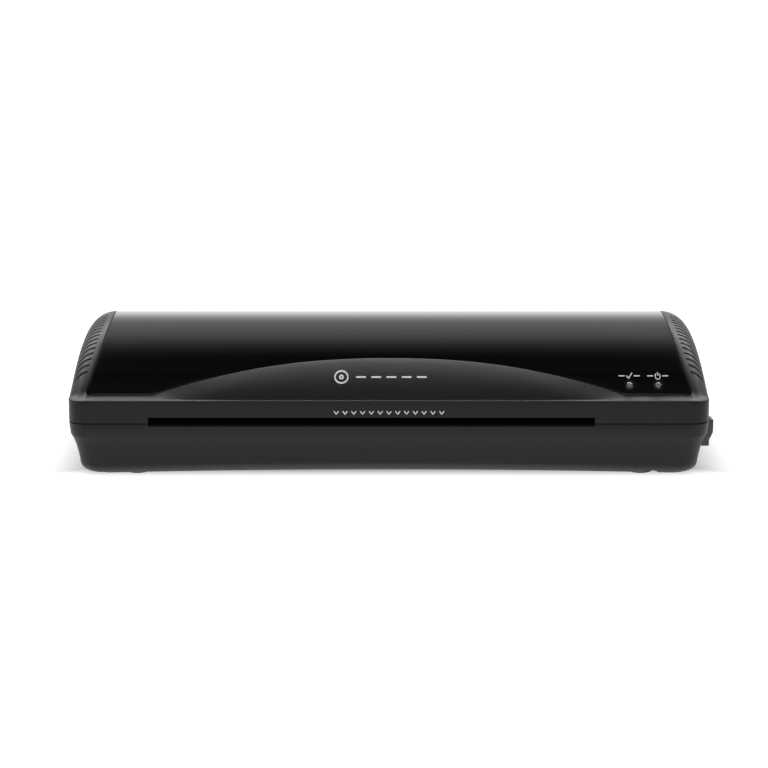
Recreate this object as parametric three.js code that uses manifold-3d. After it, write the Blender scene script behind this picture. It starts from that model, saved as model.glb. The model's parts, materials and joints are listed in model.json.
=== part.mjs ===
// A4 pouch laminator, millimetres. +X is the operator's right, the front faces -Y, +Z is up.
// The origin is below the middle of the whole machine, on the plane that the four feet rest on. The shapes are
// built about the middle of the case. The finished assembly is then moved over, because the switch stands out.

import * as THREE from 'three';
import { mergeVertices } from 'three/addons/utils/BufferGeometryUtils.js';
import Module from 'manifold-3d';

const wasm = await Module();
wasm.setup();

// ---------------------------------------------------------------- driving dimensions

// Case
const HALF_WIDTH = 168.75;        // at the seam between the two shells
const HALF_DEPTH = 73;
const CORNER_RADIUS = 8.7;        // plan corners
const FOOT_HEIGHT = 2;
const SEAM_Z = 32;                // between the two shells
const SEAM_GAP = 0.3;
const GAP = 0.3;                  // between neighbouring pieces
const WALL = 2.5;

// Upper shell: front band, sloping ledge, front arc up to the crest, rear arc down to the rear band
const BAND_HEIGHT = 12.45;        // above the seam
const BAND_DRAFT = 0.4;
const PANEL_FOOT_HEIGHT = 14.6;   // lower edge of the gloss cover, above the seam
const PANEL_FOOT_SLOPE = rad(55.5);
const FRONT_ARC = 70;
const CREST_HEIGHT = PANEL_FOOT_HEIGHT + FRONT_ARC * (1 - Math.cos(PANEL_FOOT_SLOPE));
const PANEL_FOOT_SETBACK = 5.6;   // behind the front plane
const CREST_SETBACK = PANEL_FOOT_SETBACK + FRONT_ARC * Math.sin(PANEL_FOOT_SLOPE);
const REAR_FOOT = { setback: 2 * HALF_DEPTH - 3.4, height: 13.4 };
const REAR_RUN = REAR_FOOT.setback - CREST_SETBACK;
const REAR_DROP = CREST_HEIGHT - REAR_FOOT.height;
const REAR_ARC = (REAR_RUN ** 2 + REAR_DROP ** 2) / (2 * REAR_DROP);
const REAR_SLOPE = Math.asin(REAR_RUN / REAR_ARC);
const CAP_START = 150;            // the ends round over from here to the side walls
const CAP_BASE = 12;              // the side walls stand straight up to this height above the seam
const CAP_POWER = 2.6;
const CEILING_DROP = 4.6;         // from the top surface to the ceiling inside

// Gloss cover, inlaid in the upper shell, with an arch cut from its lower edge
const COVER_THICKNESS = 1.8;
const COVER_GROOVE = 0.5;
const COVER_END_SETBACK = 104;
const COVER_FOOT_HALF_WIDTH = 159;
const COVER_SIDE_LEAN = 0.2857;   // each side moves in by this much for each millimetre of height
const ARCH_HALF_WIDTH = 124;
const ARCH_RISE = 16.4;
const ARCH_POWER = 2.3;

// Vents in the two end caps
const VENT_COUNT = 16;
const VENT_PITCH = 3.25;
const VENT_WIDTH = 1;
const VENT_FIRST_SETBACK = 15;
const VENT_STRIP = 3.4;           // plain strip between the cover and the vents
const VENT_OUTER_X = 166.5;

// Pouch path, centred left of the case's middle because the drive is at the right
const PATH_X = -9.2;
const PATH_Z = SEAM_Z + 1.8;
const SLOT_HALF_WIDTH = 117.1;
const SLOT_TOP = 3.55;            // above the seam
const SLOT_BOTTOM = -1;           // the lower shell's rim is lowered by this much at both slots
const GUIDE_LOWER_Z = SEAM_Z - 1.1;
const GUIDE_UPPER_Z = SEAM_Z + 4.1;
const GUIDE_HALF_WIDTH = 118;

// Rollers and drive
const ROLLER_Y = -4;
const ROLLER_RADIUS = 10;
const ROLLER_LENGTH = 240;
const NIP = 0.3;
const LOWER_AXIS_Z = PATH_Z - ROLLER_RADIUS - NIP / 2;
const UPPER_AXIS_Z = PATH_Z + ROLLER_RADIUS + NIP / 2;
const SHAFT_RADIUS = 4;
const FRAME_THICKNESS = 2;
const FRAME_OFFSET = 126.5;       // of each side frame from the path's centre
const FRAME_LEFT_X = PATH_X - FRAME_OFFSET;
const FRAME_RIGHT_X = PATH_X + FRAME_OFFSET;
const FRAME_BOTTOM_Z = 8;
const FRAME_TOP_Z = PATH_Z + 28.4;
const ROLLER_TEETH = 20;
const PINION_TEETH = 12;
const MODULE = (UPPER_AXIS_Z - LOWER_AXIS_Z) / ROLLER_TEETH;
const GEAR_X = FRAME_RIGHT_X + 4.9;
const GEAR_WIDTH = 6;
const PINION_Y = ROLLER_Y + MODULE * (ROLLER_TEETH + PINION_TEETH) / 2;
const MOTOR = { x: 129.5, y: 22, z: PATH_Z - 1.3, radius: 24.5, length: 20 };

// Release shaft, its cams and its lever
const RELEASE = {
  y: 14, z: PATH_Z + 13.7, radius: 2.5, camRadius: 3.2, camOffset: 3.4,
};
const LEVER = {
  x: -148, angle: rad(12), hub: 5.2, halfWidth: 2, armEnd: 47.5, tabStart: 47, tabEnd: 56, slot: [31.8, 60.5],
};
const BLOCK = { width: 12.4, bottomZ: PATH_Z + 3.9, topZ: PATH_Z + 19.7, thickness: 6 };
const SPRING = { radius: 4, wire: 0.6, turns: 4.5, bottomZ: BLOCK.topZ + 0.9, topZ: FRAME_TOP_Z - 0.6 };

// Power switch on the right side and mains inlet at the rear
const SWITCH = { x: 169.5, y: -53, z: SEAM_Z - 8, height: 15.8, width: 12, face: 0.9, back: -4.7 };
const ROCKER = { tilt: rad(12), ridge: 3.27, halfHeight: 6.8, halfWidth: 4 };
const INLET = { x: 128, y: 70.8, z: SEAM_Z - 12.5, width: 24, height: 15, lip: 1.6, depth: 16 };

const INDICATORS = [['ready', 126.6], ['power', 141.6]];
const INDICATOR_SLOPE = rad(51);
const FEET = [['front_left', -135, -48], ['front_right', 135, -48], ['rear_left', -135, 48], ['rear_right', 135, 48]];
const SCREWS = [['front_left', -152, -58], ['front_right', 140, -60], ['rear_left', -152, 58], ['rear_right', 152, 58]];

// ---------------------------------------------------------------- materials

const material = (color, roughness, metalness = 0) =>
  new THREE.MeshStandardMaterial({ color, roughness, metalness });
const SATIN_BLACK = material(0x2a2a2e, 0.55);
const GLOSS_BLACK = material(0x08080a, 0.06);
const RUBBER = material(0x161617, 0.85);
const SILICONE = material(0xa33d24, 0.7);
const STEEL = material(0xb8babd, 0.35, 1);
const ALUMINIUM = material(0xc9ccd0, 0.4, 1);
const MICA = material(0xb99f6a, 0.6);
const NYLON = material(0xe6e2d6, 0.5);
const CLEAR = material(0xd8dde2, 0.1);
const BOARD_GREEN = material(0x1f5a34, 0.5);
const WIRE_RED = material(0x8e1d1d, 0.5);

// ---------------------------------------------------------------- helpers

function rad(degrees) {
  return degrees * Math.PI / 180;
}

function range(count) {
  return Array.from({ length: count }, (_, i) => i);
}

function solid(geometry) {
  const bare = geometry.clone();
  bare.deleteAttribute('normal');
  bare.deleteAttribute('uv');
  const merged = mergeVertices(bare, 1e-4);
  const vertProperties = new Float32Array(merged.attributes.position.array);
  const triVerts = new Uint32Array(merged.index.array);
  return new wasm.Manifold(new wasm.Mesh({ numProp: 3, vertProperties, triVerts }));
}

function geometryOf(body) {
  const mesh = body.getMesh();
  const geometry = new THREE.BufferGeometry();
  geometry.setAttribute('position', new THREE.BufferAttribute(new Float32Array(mesh.vertProperties), 3));
  geometry.setIndex(new THREE.BufferAttribute(new Uint32Array(mesh.triVerts), 1));
  return geometry;
}

function cut(base, ...tools) {
  return geometryOf(tools.reduce((body, tool) => body.subtract(solid(tool)), solid(base)));
}

function join(base, ...others) {
  return geometryOf(others.reduce((body, other) => body.add(solid(other)), solid(base)));
}

function common(a, b) {
  return geometryOf(solid(a).intersect(solid(b)));
}

function piece(name, geometry, look) {
  const mesh = new THREE.Mesh(geometry, look);
  mesh.name = name;
  return mesh;
}

// A block between two corners.
function block(x0, x1, y0, y1, z0, z1) {
  return new THREE.BoxGeometry(x1 - x0, y1 - y0, z1 - z0)
    .translate((x0 + x1) / 2, (y0 + y1) / 2, (z0 + z1) / 2);
}

// A round bar along X, from x0 to x1.
function barX(radius, x0, x1, y, z, sides = 20) {
  return new THREE.CylinderGeometry(radius, radius, x1 - x0, sides)
    .rotateZ(-Math.PI / 2)
    .translate((x0 + x1) / 2, y, z);
}

// A round bar along Z, from z0 to z1.
function barZ(radius, x, y, z0, z1, sides = 14) {
  return new THREE.CylinderGeometry(radius, radius, z1 - z0, sides)
    .rotateX(Math.PI / 2)
    .translate(x, y, (z0 + z1) / 2);
}

// An outline in Y and Z, given as a THREE.Shape, made into a plate from x0 to x1.
function plateX(shape, x0, x1, curveSegments = 8) {
  return new THREE.ExtrudeGeometry(shape, { depth: x1 - x0, bevelEnabled: false, curveSegments })
    .applyMatrix4(new THREE.Matrix4().set(0, 0, 1, x0, 1, 0, 0, 0, 0, 1, 0, 0, 0, 0, 0, 1));
}

// A closed body through rings of equal point counts, capped at both ends by strips between the ring's two halves.
function loft(rings) {
  const count = rings[0].length;
  const positions = rings.flat(2);
  const faces = [];
  for (const i of range(rings.length - 1)) {
    for (const j of range(count)) {
      const a = i * count + j;
      const b = i * count + (j + 1) % count;
      faces.push(a, b, b + count, a, b + count, a + count);
    }
  }
  const last = (rings.length - 1) * count;
  for (const j of range(count / 2 - 1)) {
    const near = [j, j + 1, count - 2 - j, count - 1 - j];
    faces.push(near[0], near[2], near[1], near[0], near[3], near[2]);
    faces.push(last + near[0], last + near[1], last + near[2], last + near[0], last + near[2], last + near[3]);
  }
  const geometry = new THREE.BufferGeometry();
  geometry.setAttribute('position', new THREE.Float32BufferAttribute(positions, 3));
  geometry.setIndex(faces);
  return geometry;
}

// ---------------------------------------------------------------- case surfaces

// Height of the arch's edge above the seam.
function archHeight(x) {
  const share = Math.min(1, Math.abs(x) / ARCH_HALF_WIDTH);
  return PANEL_FOOT_HEIGHT + ARCH_RISE * (1 - share ** ARCH_POWER);
}

// Half the gloss cover's width at a height above the seam.
function coverHalfWidth(height) {
  return COVER_FOOT_HALF_WIDTH - COVER_SIDE_LEAN * (height - PANEL_FOOT_HEIGHT);
}

// A point [setback, height] of the top surface, where slope runs from the panel foot's slope through zero to
// minus the rear slope. sink moves the point into the case, square to the surface.
function arcPoint(slope, sink = 0) {
  const radius = slope > 0 ? FRONT_ARC : REAR_ARC;
  return [
    CREST_SETBACK - (radius - sink) * Math.sin(slope),
    CREST_HEIGHT - radius + (radius - sink) * Math.cos(slope),
  ];
}

function frontSlopeAt(height) {
  return Math.acos(1 - (CREST_HEIGHT - height) / FRONT_ARC);
}

// How much of the height above the cap's base is left at x.
function capShare(x, inset = 0) {
  const reach = (Math.abs(x) + inset - CAP_START) / (HALF_WIDTH - CAP_START);
  if (reach <= 0) return 1;
  return (1 - Math.min(1, reach) ** CAP_POWER) ** (1 / CAP_POWER);
}

// How far the rounded corner sets the front and rear back at x.
function cornerSetback(x, halfWidth, radius) {
  const past = Math.abs(x) - (halfWidth - radius);
  return past <= 0 ? 0 : radius - Math.sqrt(Math.max(0, radius * radius - past * past));
}

// Places along X: the given ones on the straight stretch, then steps around the rounded corner.
function stations(straight, halfWidth, radius) {
  const corner = [0, 30, 60, 90].map((turn) => halfWidth - radius + radius * Math.sin(rad(turn)));
  const right = [...straight, ...corner];
  return [...right.map((x) => -x).reverse(), 0, ...right];
}

function upperStations(inset) {
  return stations([40, 75, 100, ARCH_HALF_WIDTH, CAP_START, 155.5], HALF_WIDTH - inset, CORNER_RADIUS - inset);
}

// The cross-section of the upper shell at x. inset moves the walls in, drop lowers the top.
function upperSection(x, bottom, inset = 0, drop = 0) {
  const depth = HALF_DEPTH - inset - cornerSetback(x, HALF_WIDTH - inset, CORNER_RADIUS - inset);
  const squeeze = depth / HALF_DEPTH;
  const top = [];
  top.push([BAND_DRAFT, BAND_HEIGHT]);
  const start = frontSlopeAt(archHeight(x));
  for (const i of range(7)) top.push(arcPoint(start * (1 - i / 6)));
  for (const i of range(5)) top.push(arcPoint(-REAR_SLOPE * (i + 1) / 5));
  top.push([2 * HALF_DEPTH - BAND_DRAFT, BAND_HEIGHT]);
  const share = capShare(x, inset);
  const place = ([setback, height]) => {
    const above = Math.max(0, height - CAP_BASE) * share;
    const z = SEAM_Z + Math.min(height, CAP_BASE) + above - drop;
    return [x, (setback - HALF_DEPTH) * squeeze, z];
  };
  const foot = [[x, -depth, SEAM_Z + bottom], [x, depth, SEAM_Z + bottom]];
  return [foot[1], ...top.map(place).reverse(), foot[0]];
}

// A rounded rectangle at one height, as a ring whose two halves pair up front to rear. lift raises it towards
// the middle.
function lowerRing({ halfWidth, halfDepth, radius, z, lift = 0 }) {
  const straight = [0.35, 0.65, 0.88].map((share) => share * (halfWidth - radius));
  const xs = stations(straight, halfWidth, radius);
  const point = (side) => (x) => [
    x,
    side * (halfDepth - cornerSetback(x, halfWidth, radius)),
    z + lift * Math.max(0, 1 - (x / CAP_START) ** 2),
  ];
  return [...xs.map(point(-1)), ...xs.reverse().map(point(1))];
}

// ---------------------------------------------------------------- case parts

const LOWER_LIFT = 2.1;           // the lower edge is arched by this much in the middle

// The lower shell's outside, from the floor up: how far each level is inside the seam's outline at the front and
// rear, and how far at the two sides.
const LOWER_LEVELS = [
  { depth: 30, inside: 12, sideInside: 8.6, lift: LOWER_LIFT },
  { depth: 28.7, inside: 10.6, sideInside: 6.5, lift: LOWER_LIFT },
  { depth: 26.5, inside: 8.6, sideInside: 4.9, lift: LOWER_LIFT },
  { depth: 24.3, inside: 6.7, sideInside: 4.3, lift: LOWER_LIFT / 2 },
  { depth: 20, inside: 5.5, sideInside: 3.8 },
  { depth: 13.4, inside: 3.8, sideInside: 2.6 },
  { depth: 9, inside: 1.9, sideInside: 1.45 },
  { depth: 6.8, inside: 0.65, sideInside: 0.6 },
  { depth: 0, inside: 0, sideInside: 0 },
];

function lowerRings(levels, wall) {
  return levels.map(({ depth, inside, sideInside, lift = 0 }) => lowerRing({
    halfWidth: HALF_WIDTH - sideInside - wall,
    halfDepth: HALF_DEPTH - inside - wall,
    radius: CORNER_RADIUS - wall,
    z: SEAM_Z - depth,
    lift,
  }));
}

function lowerHull() {
  return loft(lowerRings(LOWER_LEVELS, 0));
}

function lowerCavity() {
  const levels = [
    { depth: LOWER_LEVELS[0].depth - WALL, inside: 10, sideInside: 7, lift: LOWER_LIFT },
    { depth: 23, inside: 6.4, sideInside: 4.1, lift: LOWER_LIFT / 3 },
    ...LOWER_LEVELS.slice(4),
  ];
  const rings = lowerRings(levels, WALL);
  rings.push(rings.at(-1).map(([x, y, z]) => [x, y, z + 1]));
  return loft(rings);
}

// A block of the switch, centred on it, from x0 to x1 out of its middle plane. grow widens its front outline.
function switchBlock(x0, x1, grow) {
  const halfWidth = SWITCH.width / 2 + grow;
  const halfHeight = SWITCH.height / 2 + grow;
  return block(x0, x1, -halfWidth, halfWidth, -halfHeight, halfHeight).translate(SWITCH.x, SWITCH.y, SWITCH.z);
}

function inletPad() {
  const { x, y, z } = INLET;
  const halfWidth = INLET.width / 2 + 1.4;
  const halfHeight = INLET.height / 2 + 1.4;
  return block(x - halfWidth, x + halfWidth, y - 6, y + 0.6, z - halfHeight, z + halfHeight);
}

// The slots run through both shells, from the lowered rim up to the slot's top edge.
function entrySlot() {
  const half = SLOT_HALF_WIDTH;
  return block(PATH_X - half, PATH_X + half, -80, -60, SEAM_Z + SLOT_BOTTOM, SEAM_Z + SLOT_TOP);
}

function exitSlot() {
  const half = SLOT_HALF_WIDTH + 1.5;
  return block(PATH_X - half, PATH_X + half, 60, 80, SEAM_Z + SLOT_BOTTOM, SEAM_Z + 4.2);
}

function lowerShell() {
  const bosses = SCREWS.map(([, x, y]) => barZ(4.6, x, y, 4, SEAM_Z - GAP));
  const framePads = [FRAME_LEFT_X, FRAME_RIGHT_X].flatMap((x) =>
    [-28, 16].map((y) => block(x - 4, x + 4, y - 5, y + 5, 3.5, FRAME_BOTTOM_Z - GAP)));
  const boardPads = [-40, 20].map((y) => block(-155, -147, y - 4, y + 4, 3.5, 12 - GAP));
  const walls = cut(lowerHull(), lowerCavity());
  const switchPad = switchBlock(SWITCH.back - 3.5, SWITCH.back - GAP, 1.2);
  const filled = join(walls, switchPad, inletPad(), ...bosses, ...framePads, ...boardPads);
  const screwHoles = SCREWS.flatMap(([, x, y]) => [barZ(1.9, x, y, 0, 40), barZ(3.2, x, y, 0, 9.7)]);
  const switchHole = switchBlock(SWITCH.back - GAP, 4, GAP);
  const switchBodyHole = switchBlock(-12, SWITCH.back, GAP - SWITCH_STEP);
  const inletHole = block(INLET.x - 11, INLET.x + 11, INLET.y - 12, INLET.y + 1, INLET.z - 6, INLET.z + 6);
  const flangeHalfWidth = INLET.width / 2 + GAP;
  const flangeHalfHeight = INLET.height / 2 + GAP;
  const inletRecess = block(INLET.x - flangeHalfWidth, INLET.x + flangeHalfWidth, INLET.y - GAP, INLET.y + 5,
    INLET.z - flangeHalfHeight, INLET.z + flangeHalfHeight);
  const openings = [switchHole, switchBodyHole, inletHole, inletRecess, entrySlot(), exitSlot()];
  return piece('lower_shell', cut(filled, ...openings, ...screwHoles), SATIN_BLACK);
}

// The gloss cover's outline as a body: seen from the front as far as the crest, and from above behind it.
function coverOutline(grow) {
  const edge = COVER_GROOVE - grow;
  const foot = PANEL_FOOT_HEIGHT + edge;
  const front = new THREE.Shape();
  const lift = CREST_HEIGHT + 4;
  front.moveTo(-coverHalfWidth(lift) - grow, SEAM_Z + lift);
  front.lineTo(-coverHalfWidth(foot) - grow, SEAM_Z + foot);
  for (const i of range(21)) {
    const x = ARCH_HALF_WIDTH * (i / 10 - 1);
    front.lineTo(x, SEAM_Z + archHeight(x) + edge);
  }
  front.lineTo(coverHalfWidth(foot) + grow, SEAM_Z + foot);
  front.lineTo(coverHalfWidth(lift) + grow, SEAM_Z + lift);
  const crestY = CREST_SETBACK - HALF_DEPTH;
  const frontBody = new THREE.ExtrudeGeometry(front, { depth: CREST_SETBACK + 2, bevelEnabled: false })
    .rotateX(Math.PI / 2)
    .translate(0, crestY, 0);
  const rear = new THREE.Shape();
  const crestHalf = coverHalfWidth(CREST_HEIGHT) + grow;
  rear.moveTo(-crestHalf, crestY - 0.01);
  rear.lineTo(crestHalf, crestY - 0.01);
  rear.lineTo(crestHalf + 2, COVER_END_SETBACK - HALF_DEPTH + grow);
  rear.lineTo(-crestHalf - 2, COVER_END_SETBACK - HALF_DEPTH + grow);
  const rearBody = new THREE.ExtrudeGeometry(rear, { depth: 60, bevelEnabled: false }).translate(0, 0, SEAM_Z);
  return join(frontBody, rearBody);
}

// A curved sheet under the top surface, between two depths below it.
function topSheet(outer, inner) {
  const slopes = [1.08, 1, ...range(8).map((i) => 1 - (i + 1) / 8)].map((share) => share * PANEL_FOOT_SLOPE)
    .concat(range(4).map((i) => -rad(24) * (i + 1) / 4));
  const xs = [-162, -157, -153.5, -150, 150, 153.5, 157, 162];
  const row = (x, sink) => slopes.map((slope) => {
    const [setback, height] = arcPoint(slope, sink);
    const z = SEAM_Z + CAP_BASE + (height - CAP_BASE) * capShare(x);
    return [x, setback - HALF_DEPTH, z];
  });
  return loft(xs.map((x) => [...row(x, inner), ...row(x, outer).reverse()]));
}

function indicatorPlace(geometry, x) {
  const [setback, height] = arcPoint(INDICATOR_SLOPE);
  return geometry.rotateX(INDICATOR_SLOPE).translate(x, setback - HALF_DEPTH, SEAM_Z + height);
}

function indicatorHole(radius, x) {
  return indicatorPlace(barZ(radius, 0, 0, -12, 6), x);
}

function glossCover() {
  const plate = common(topSheet(0, COVER_THICKNESS), coverOutline(0));
  const holes = INDICATORS.map(([, x]) => indicatorHole(3.2, x));
  return piece('gloss_cover', cut(plate, ...holes), GLOSS_BLACK);
}

// One vent, cut straight down through the end cap.
function vent(side, index) {
  const setback = VENT_FIRST_SETBACK + VENT_PITCH * index;
  const slope = Math.asin((CREST_SETBACK - setback) / (setback < CREST_SETBACK ? FRONT_ARC : REAR_ARC));
  const inner = coverHalfWidth(arcPoint(slope)[1]) + VENT_STRIP;
  const y = setback - HALF_DEPTH;
  const xs = [side * inner, side * VENT_OUTER_X].sort((a, b) => a - b);
  const half = VENT_WIDTH / 2;
  return block(xs[0], xs[1], y - half, y + half, SEAM_Z + CAP_BASE + 1, SEAM_Z + CREST_HEIGHT + 5);
}

function topZ(x, y) {
  const setback = y + HALF_DEPTH;
  const radius = setback < CREST_SETBACK ? FRONT_ARC : REAR_ARC;
  const height = arcPoint(Math.asin((CREST_SETBACK - setback) / radius))[1];
  return SEAM_Z + CAP_BASE + (height - CAP_BASE) * capShare(x);
}

function upperShell() {
  const outside = loft(upperStations(0).map((x) => upperSection(x, SEAM_GAP)));
  const inside = loft(upperStations(WALL).map((x) => upperSection(x, -1, WALL, CEILING_DROP)));
  const posts = SCREWS.map(([, x, y]) => barZ(3.8, x, y, SEAM_Z + SEAM_GAP, topZ(x, y) - 3.4));
  const bed = common(topSheet(-3, COVER_THICKNESS + GAP), coverOutline(GAP));
  const screwHoles = SCREWS.map(([, x, y]) => barZ(1.8, x, y, SEAM_Z - 1, 44));
  const slotHalf = LEVER.halfWidth + 1;
  const leverSlot = block(LEVER.x - slotHalf, LEVER.x + slotHalf, ...LEVER.slot, SEAM_Z + 16, SEAM_Z + 50);
  const lensHoles = INDICATORS.map(([, x]) => indicatorHole(2.3, x));
  const vents = [-1, 1].flatMap((side) => range(VENT_COUNT).map((i) => vent(side, i)));
  const openings = [bed, entrySlot(), exitSlot(), leverSlot, ...screwHoles, ...lensHoles, ...vents];
  const shell = cut(join(cut(outside, inside), ...posts), ...openings);
  return piece('upper_shell', shell, SATIN_BLACK);
}

function indicatorParts([label, x]) {
  const dome = new THREE.Shape()
    .moveTo(0, -7)
    .lineTo(1.8, -7)
    .lineTo(1.8, -0.3)
    .absarc(0, -0.3, 1.8, 0, Math.PI / 2);
  const lens = new THREE.LatheGeometry(dome.getPoints(3), 14).rotateX(Math.PI / 2);
  const ring = new THREE.LatheGeometry([
    new THREE.Vector2(2.1, -COVER_THICKNESS),
    new THREE.Vector2(2.9, -COVER_THICKNESS),
    new THREE.Vector2(2.9, 0.1),
    new THREE.Vector2(2.5, 0.4),
    new THREE.Vector2(2.1, -0.4),
    new THREE.Vector2(2.1, -COVER_THICKNESS),
  ], 14).rotateX(Math.PI / 2);
  const led = join(barZ(1.5, 0, 0, -10.6, -7.8), barZ(1.9, 0, 0, -11.4, -10.4));
  return [
    piece(`${label}_lens`, indicatorPlace(lens, x), CLEAR),
    piece(`${label}_bezel`, indicatorPlace(ring, x), GLOSS_BLACK),
    piece(`${label}_led`, indicatorPlace(led, x), CLEAR),
  ];
}

function indicatorBoard() {
  const middle = (INDICATORS[0][1] + INDICATORS[1][1]) / 2;
  return piece('indicator_board', indicatorPlace(block(-10.5, 10.5, -1.8, 5, -13.3, -11.7), middle), BOARD_GREEN);
}

function foot([place, x, y]) {
  return piece(`foot_${place}`, barZ(7, x, y, 0, FOOT_HEIGHT + 0.1, 20), RUBBER);
}

function caseScrew([place, x, y]) {
  const profile = [[0, 7.2], [2.8, 7.2], [2.8, 9.4], [1.5, 9.4], [1.5, 42], [0, 43]]
    .map(([radius, z]) => new THREE.Vector2(radius, z));
  const screw = new THREE.LatheGeometry(profile, 16).rotateX(Math.PI / 2).translate(x, y, 0);
  const slot = block(x - 2, x + 2, y - 0.4, y + 0.4, 6.5, 8.2);
  return piece(`case_screw_${place}`, cut(screw, slot), STEEL);
}

// ---------------------------------------------------------------- rollers, frames and drive

function roller(level, z) {
  const x0 = PATH_X - ROLLER_LENGTH / 2;
  const x1 = PATH_X + ROLLER_LENGTH / 2;
  const bore = barX(SHAFT_RADIUS + GAP, x0 - 1, x1 + 1, ROLLER_Y, z);
  const sleeve = cut(barX(ROLLER_RADIUS, x0, x1, ROLLER_Y, z, 36), bore);
  const shaft = barX(SHAFT_RADIUS, FRAME_LEFT_X - 5, MOTOR.x - 0.5, ROLLER_Y, z);
  return [
    piece(`${level}_roller_sleeve`, sleeve, SILICONE),
    piece(`${level}_roller_shaft`, shaft, STEEL),
  ];
}

// A spur gear along X whose first tooth points at the given angle from +Y towards +Z.
function gear(teeth, phase, y, z, boreRadius) {
  const pitchRadius = MODULE * teeth / 2;
  const root = pitchRadius - 1.3 * MODULE;
  const tip = pitchRadius + MODULE;
  const step = 2 * Math.PI / teeth;
  const shape = new THREE.Shape();
  for (const i of range(teeth)) {
    const middle = phase + i * step;
    const corners = [[root, -0.3], [tip, -0.12], [tip, 0.12], [root, 0.3]];
    corners.forEach(([radius, share], k) => {
      const angle = middle + share * step;
      const point = [radius * Math.cos(angle), radius * Math.sin(angle)];
      if (i + k === 0) shape.moveTo(...point);
      else shape.lineTo(...point);
    });
  }
  shape.closePath();
  if (boreRadius > 0) {
    shape.holes.push(new THREE.Path().absarc(0, 0, boreRadius, 0, 2 * Math.PI, true));
  }
  return plateX(shape, GEAR_X, GEAR_X + GEAR_WIDTH, 12).translate(0, y, z);
}

function gears() {
  const bore = SHAFT_RADIUS + GAP;
  const up = Math.PI / 2;
  const lower = gear(ROLLER_TEETH, up, ROLLER_Y, LOWER_AXIS_Z, bore);
  const upper = gear(ROLLER_TEETH, -up + Math.PI / ROLLER_TEETH, ROLLER_Y, UPPER_AXIS_Z, bore);
  const pinion = gear(PINION_TEETH, Math.PI + Math.PI / PINION_TEETH, PINION_Y, LOWER_AXIS_Z, 0);
  const stub = barX(2.5, GEAR_X + 1, MOTOR.x - GAP, PINION_Y, LOWER_AXIS_Z, 16);
  return [
    piece('lower_roller_gear', lower, NYLON),
    piece('upper_roller_gear', upper, NYLON),
    piece('motor_pinion', join(pinion, stub), NYLON),
  ];
}

function gearMotor() {
  const can = barX(MOTOR.radius, MOTOR.x, MOTOR.x + MOTOR.length, MOTOR.y, MOTOR.z, 40);
  const rim = barX(MOTOR.radius - 6, MOTOR.x + 10, MOTOR.x + MOTOR.length + 2, MOTOR.y, MOTOR.z, 32);
  const terminals = block(MOTOR.x + 4, MOTOR.x + 14, MOTOR.y - 9, MOTOR.y + 9, MOTOR.z - 24.8, MOTOR.z - 20);
  return piece('gear_motor', join(can, rim, terminals), STEEL);
}

const STANDOFFS = [['rear', MOTOR.y + 19, MOTOR.z], ['top', MOTOR.y, MOTOR.z + 20]];

function motorStandoff([place, y, z]) {
  return piece(`motor_standoff_${place}`, barX(3, FRAME_RIGHT_X + 1.3, MOTOR.x - GAP, y, z, 16), STEEL);
}

function sideFrame(name, x, rearY) {
  const slotHalf = BLOCK.width / 2 + GAP;
  const outline = new THREE.Shape()
    .moveTo(-34, FRAME_BOTTOM_Z)
    .lineTo(rearY, FRAME_BOTTOM_Z)
    .lineTo(rearY, PATH_Z + 11.7)
    .lineTo(rearY - 16, FRAME_TOP_Z)
    .lineTo(ROLLER_Y + slotHalf, FRAME_TOP_Z)
    .lineTo(ROLLER_Y + slotHalf, BLOCK.bottomZ - 0.5)
    .lineTo(ROLLER_Y - slotHalf, BLOCK.bottomZ - 0.5)
    .lineTo(ROLLER_Y - slotHalf, FRAME_TOP_Z)
    .lineTo(-24, FRAME_TOP_Z)
    .lineTo(-34, PATH_Z + 17.7);
  outline.holes.push(
    new THREE.Path().absarc(ROLLER_Y, LOWER_AXIS_Z, 6.4, 0, 2 * Math.PI, true),
    new THREE.Path().absarc(RELEASE.y, RELEASE.z, RELEASE.radius + GAP, 0, 2 * Math.PI, true),
  );
  return piece(name, plateX(outline, x - FRAME_THICKNESS / 2, x + FRAME_THICKNESS / 2, 12), STEEL);
}

function tieBar(name, y) {
  const inset = FRAME_THICKNESS / 2 + GAP;
  return piece(name, block(FRAME_LEFT_X + inset, FRAME_RIGHT_X - inset, y - 1.5, y + 1.5, 10, 22), STEEL);
}

function lowerBushing(side, x) {
  const ring = cut(barX(6, x - 3, x + 3, ROLLER_Y, LOWER_AXIS_Z),
    barX(SHAFT_RADIUS + GAP, x - 4, x + 4, ROLLER_Y, LOWER_AXIS_Z));
  return piece(`lower_bushing_${side}`, ring, NYLON);
}

// The upper roller's bearing block slides in the side frame. Its ear, inside the frame, stands over a release cam.
function bearingBlock(side, x, inward) {
  const half = BLOCK.thickness / 2;
  const halfWidth = BLOCK.width / 2;
  const { bottomZ, topZ } = BLOCK;
  const body = block(x - half, x + half, ROLLER_Y - halfWidth, ROLLER_Y + halfWidth, bottomZ, topZ);
  const ends = [x + inward * 1.6, x + inward * 5].sort((a, b) => a - b);
  const ear = block(...ends, ROLLER_Y, RELEASE.y + 6, RELEASE.z + RELEASE.camRadius + GAP, topZ);
  const bore = barX(SHAFT_RADIUS + GAP, x - 9, x + 9, ROLLER_Y, UPPER_AXIS_Z);
  return piece(`bearing_block_${side}`, cut(join(body, ear), bore), NYLON);
}

class Helix extends THREE.Curve {
  constructor(radius, height, turns) {
    super();
    this.radius = radius;
    this.height = height;
    this.turns = turns;
  }

  getPoint(t, target = new THREE.Vector3()) {
    const angle = 2 * Math.PI * this.turns * t;
    return target.set(this.radius * Math.cos(angle), this.radius * Math.sin(angle), this.height * t);
  }
}

function circle(radius) {
  return new THREE.Shape().absarc(0, 0, radius, 0, 2 * Math.PI);
}

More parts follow.
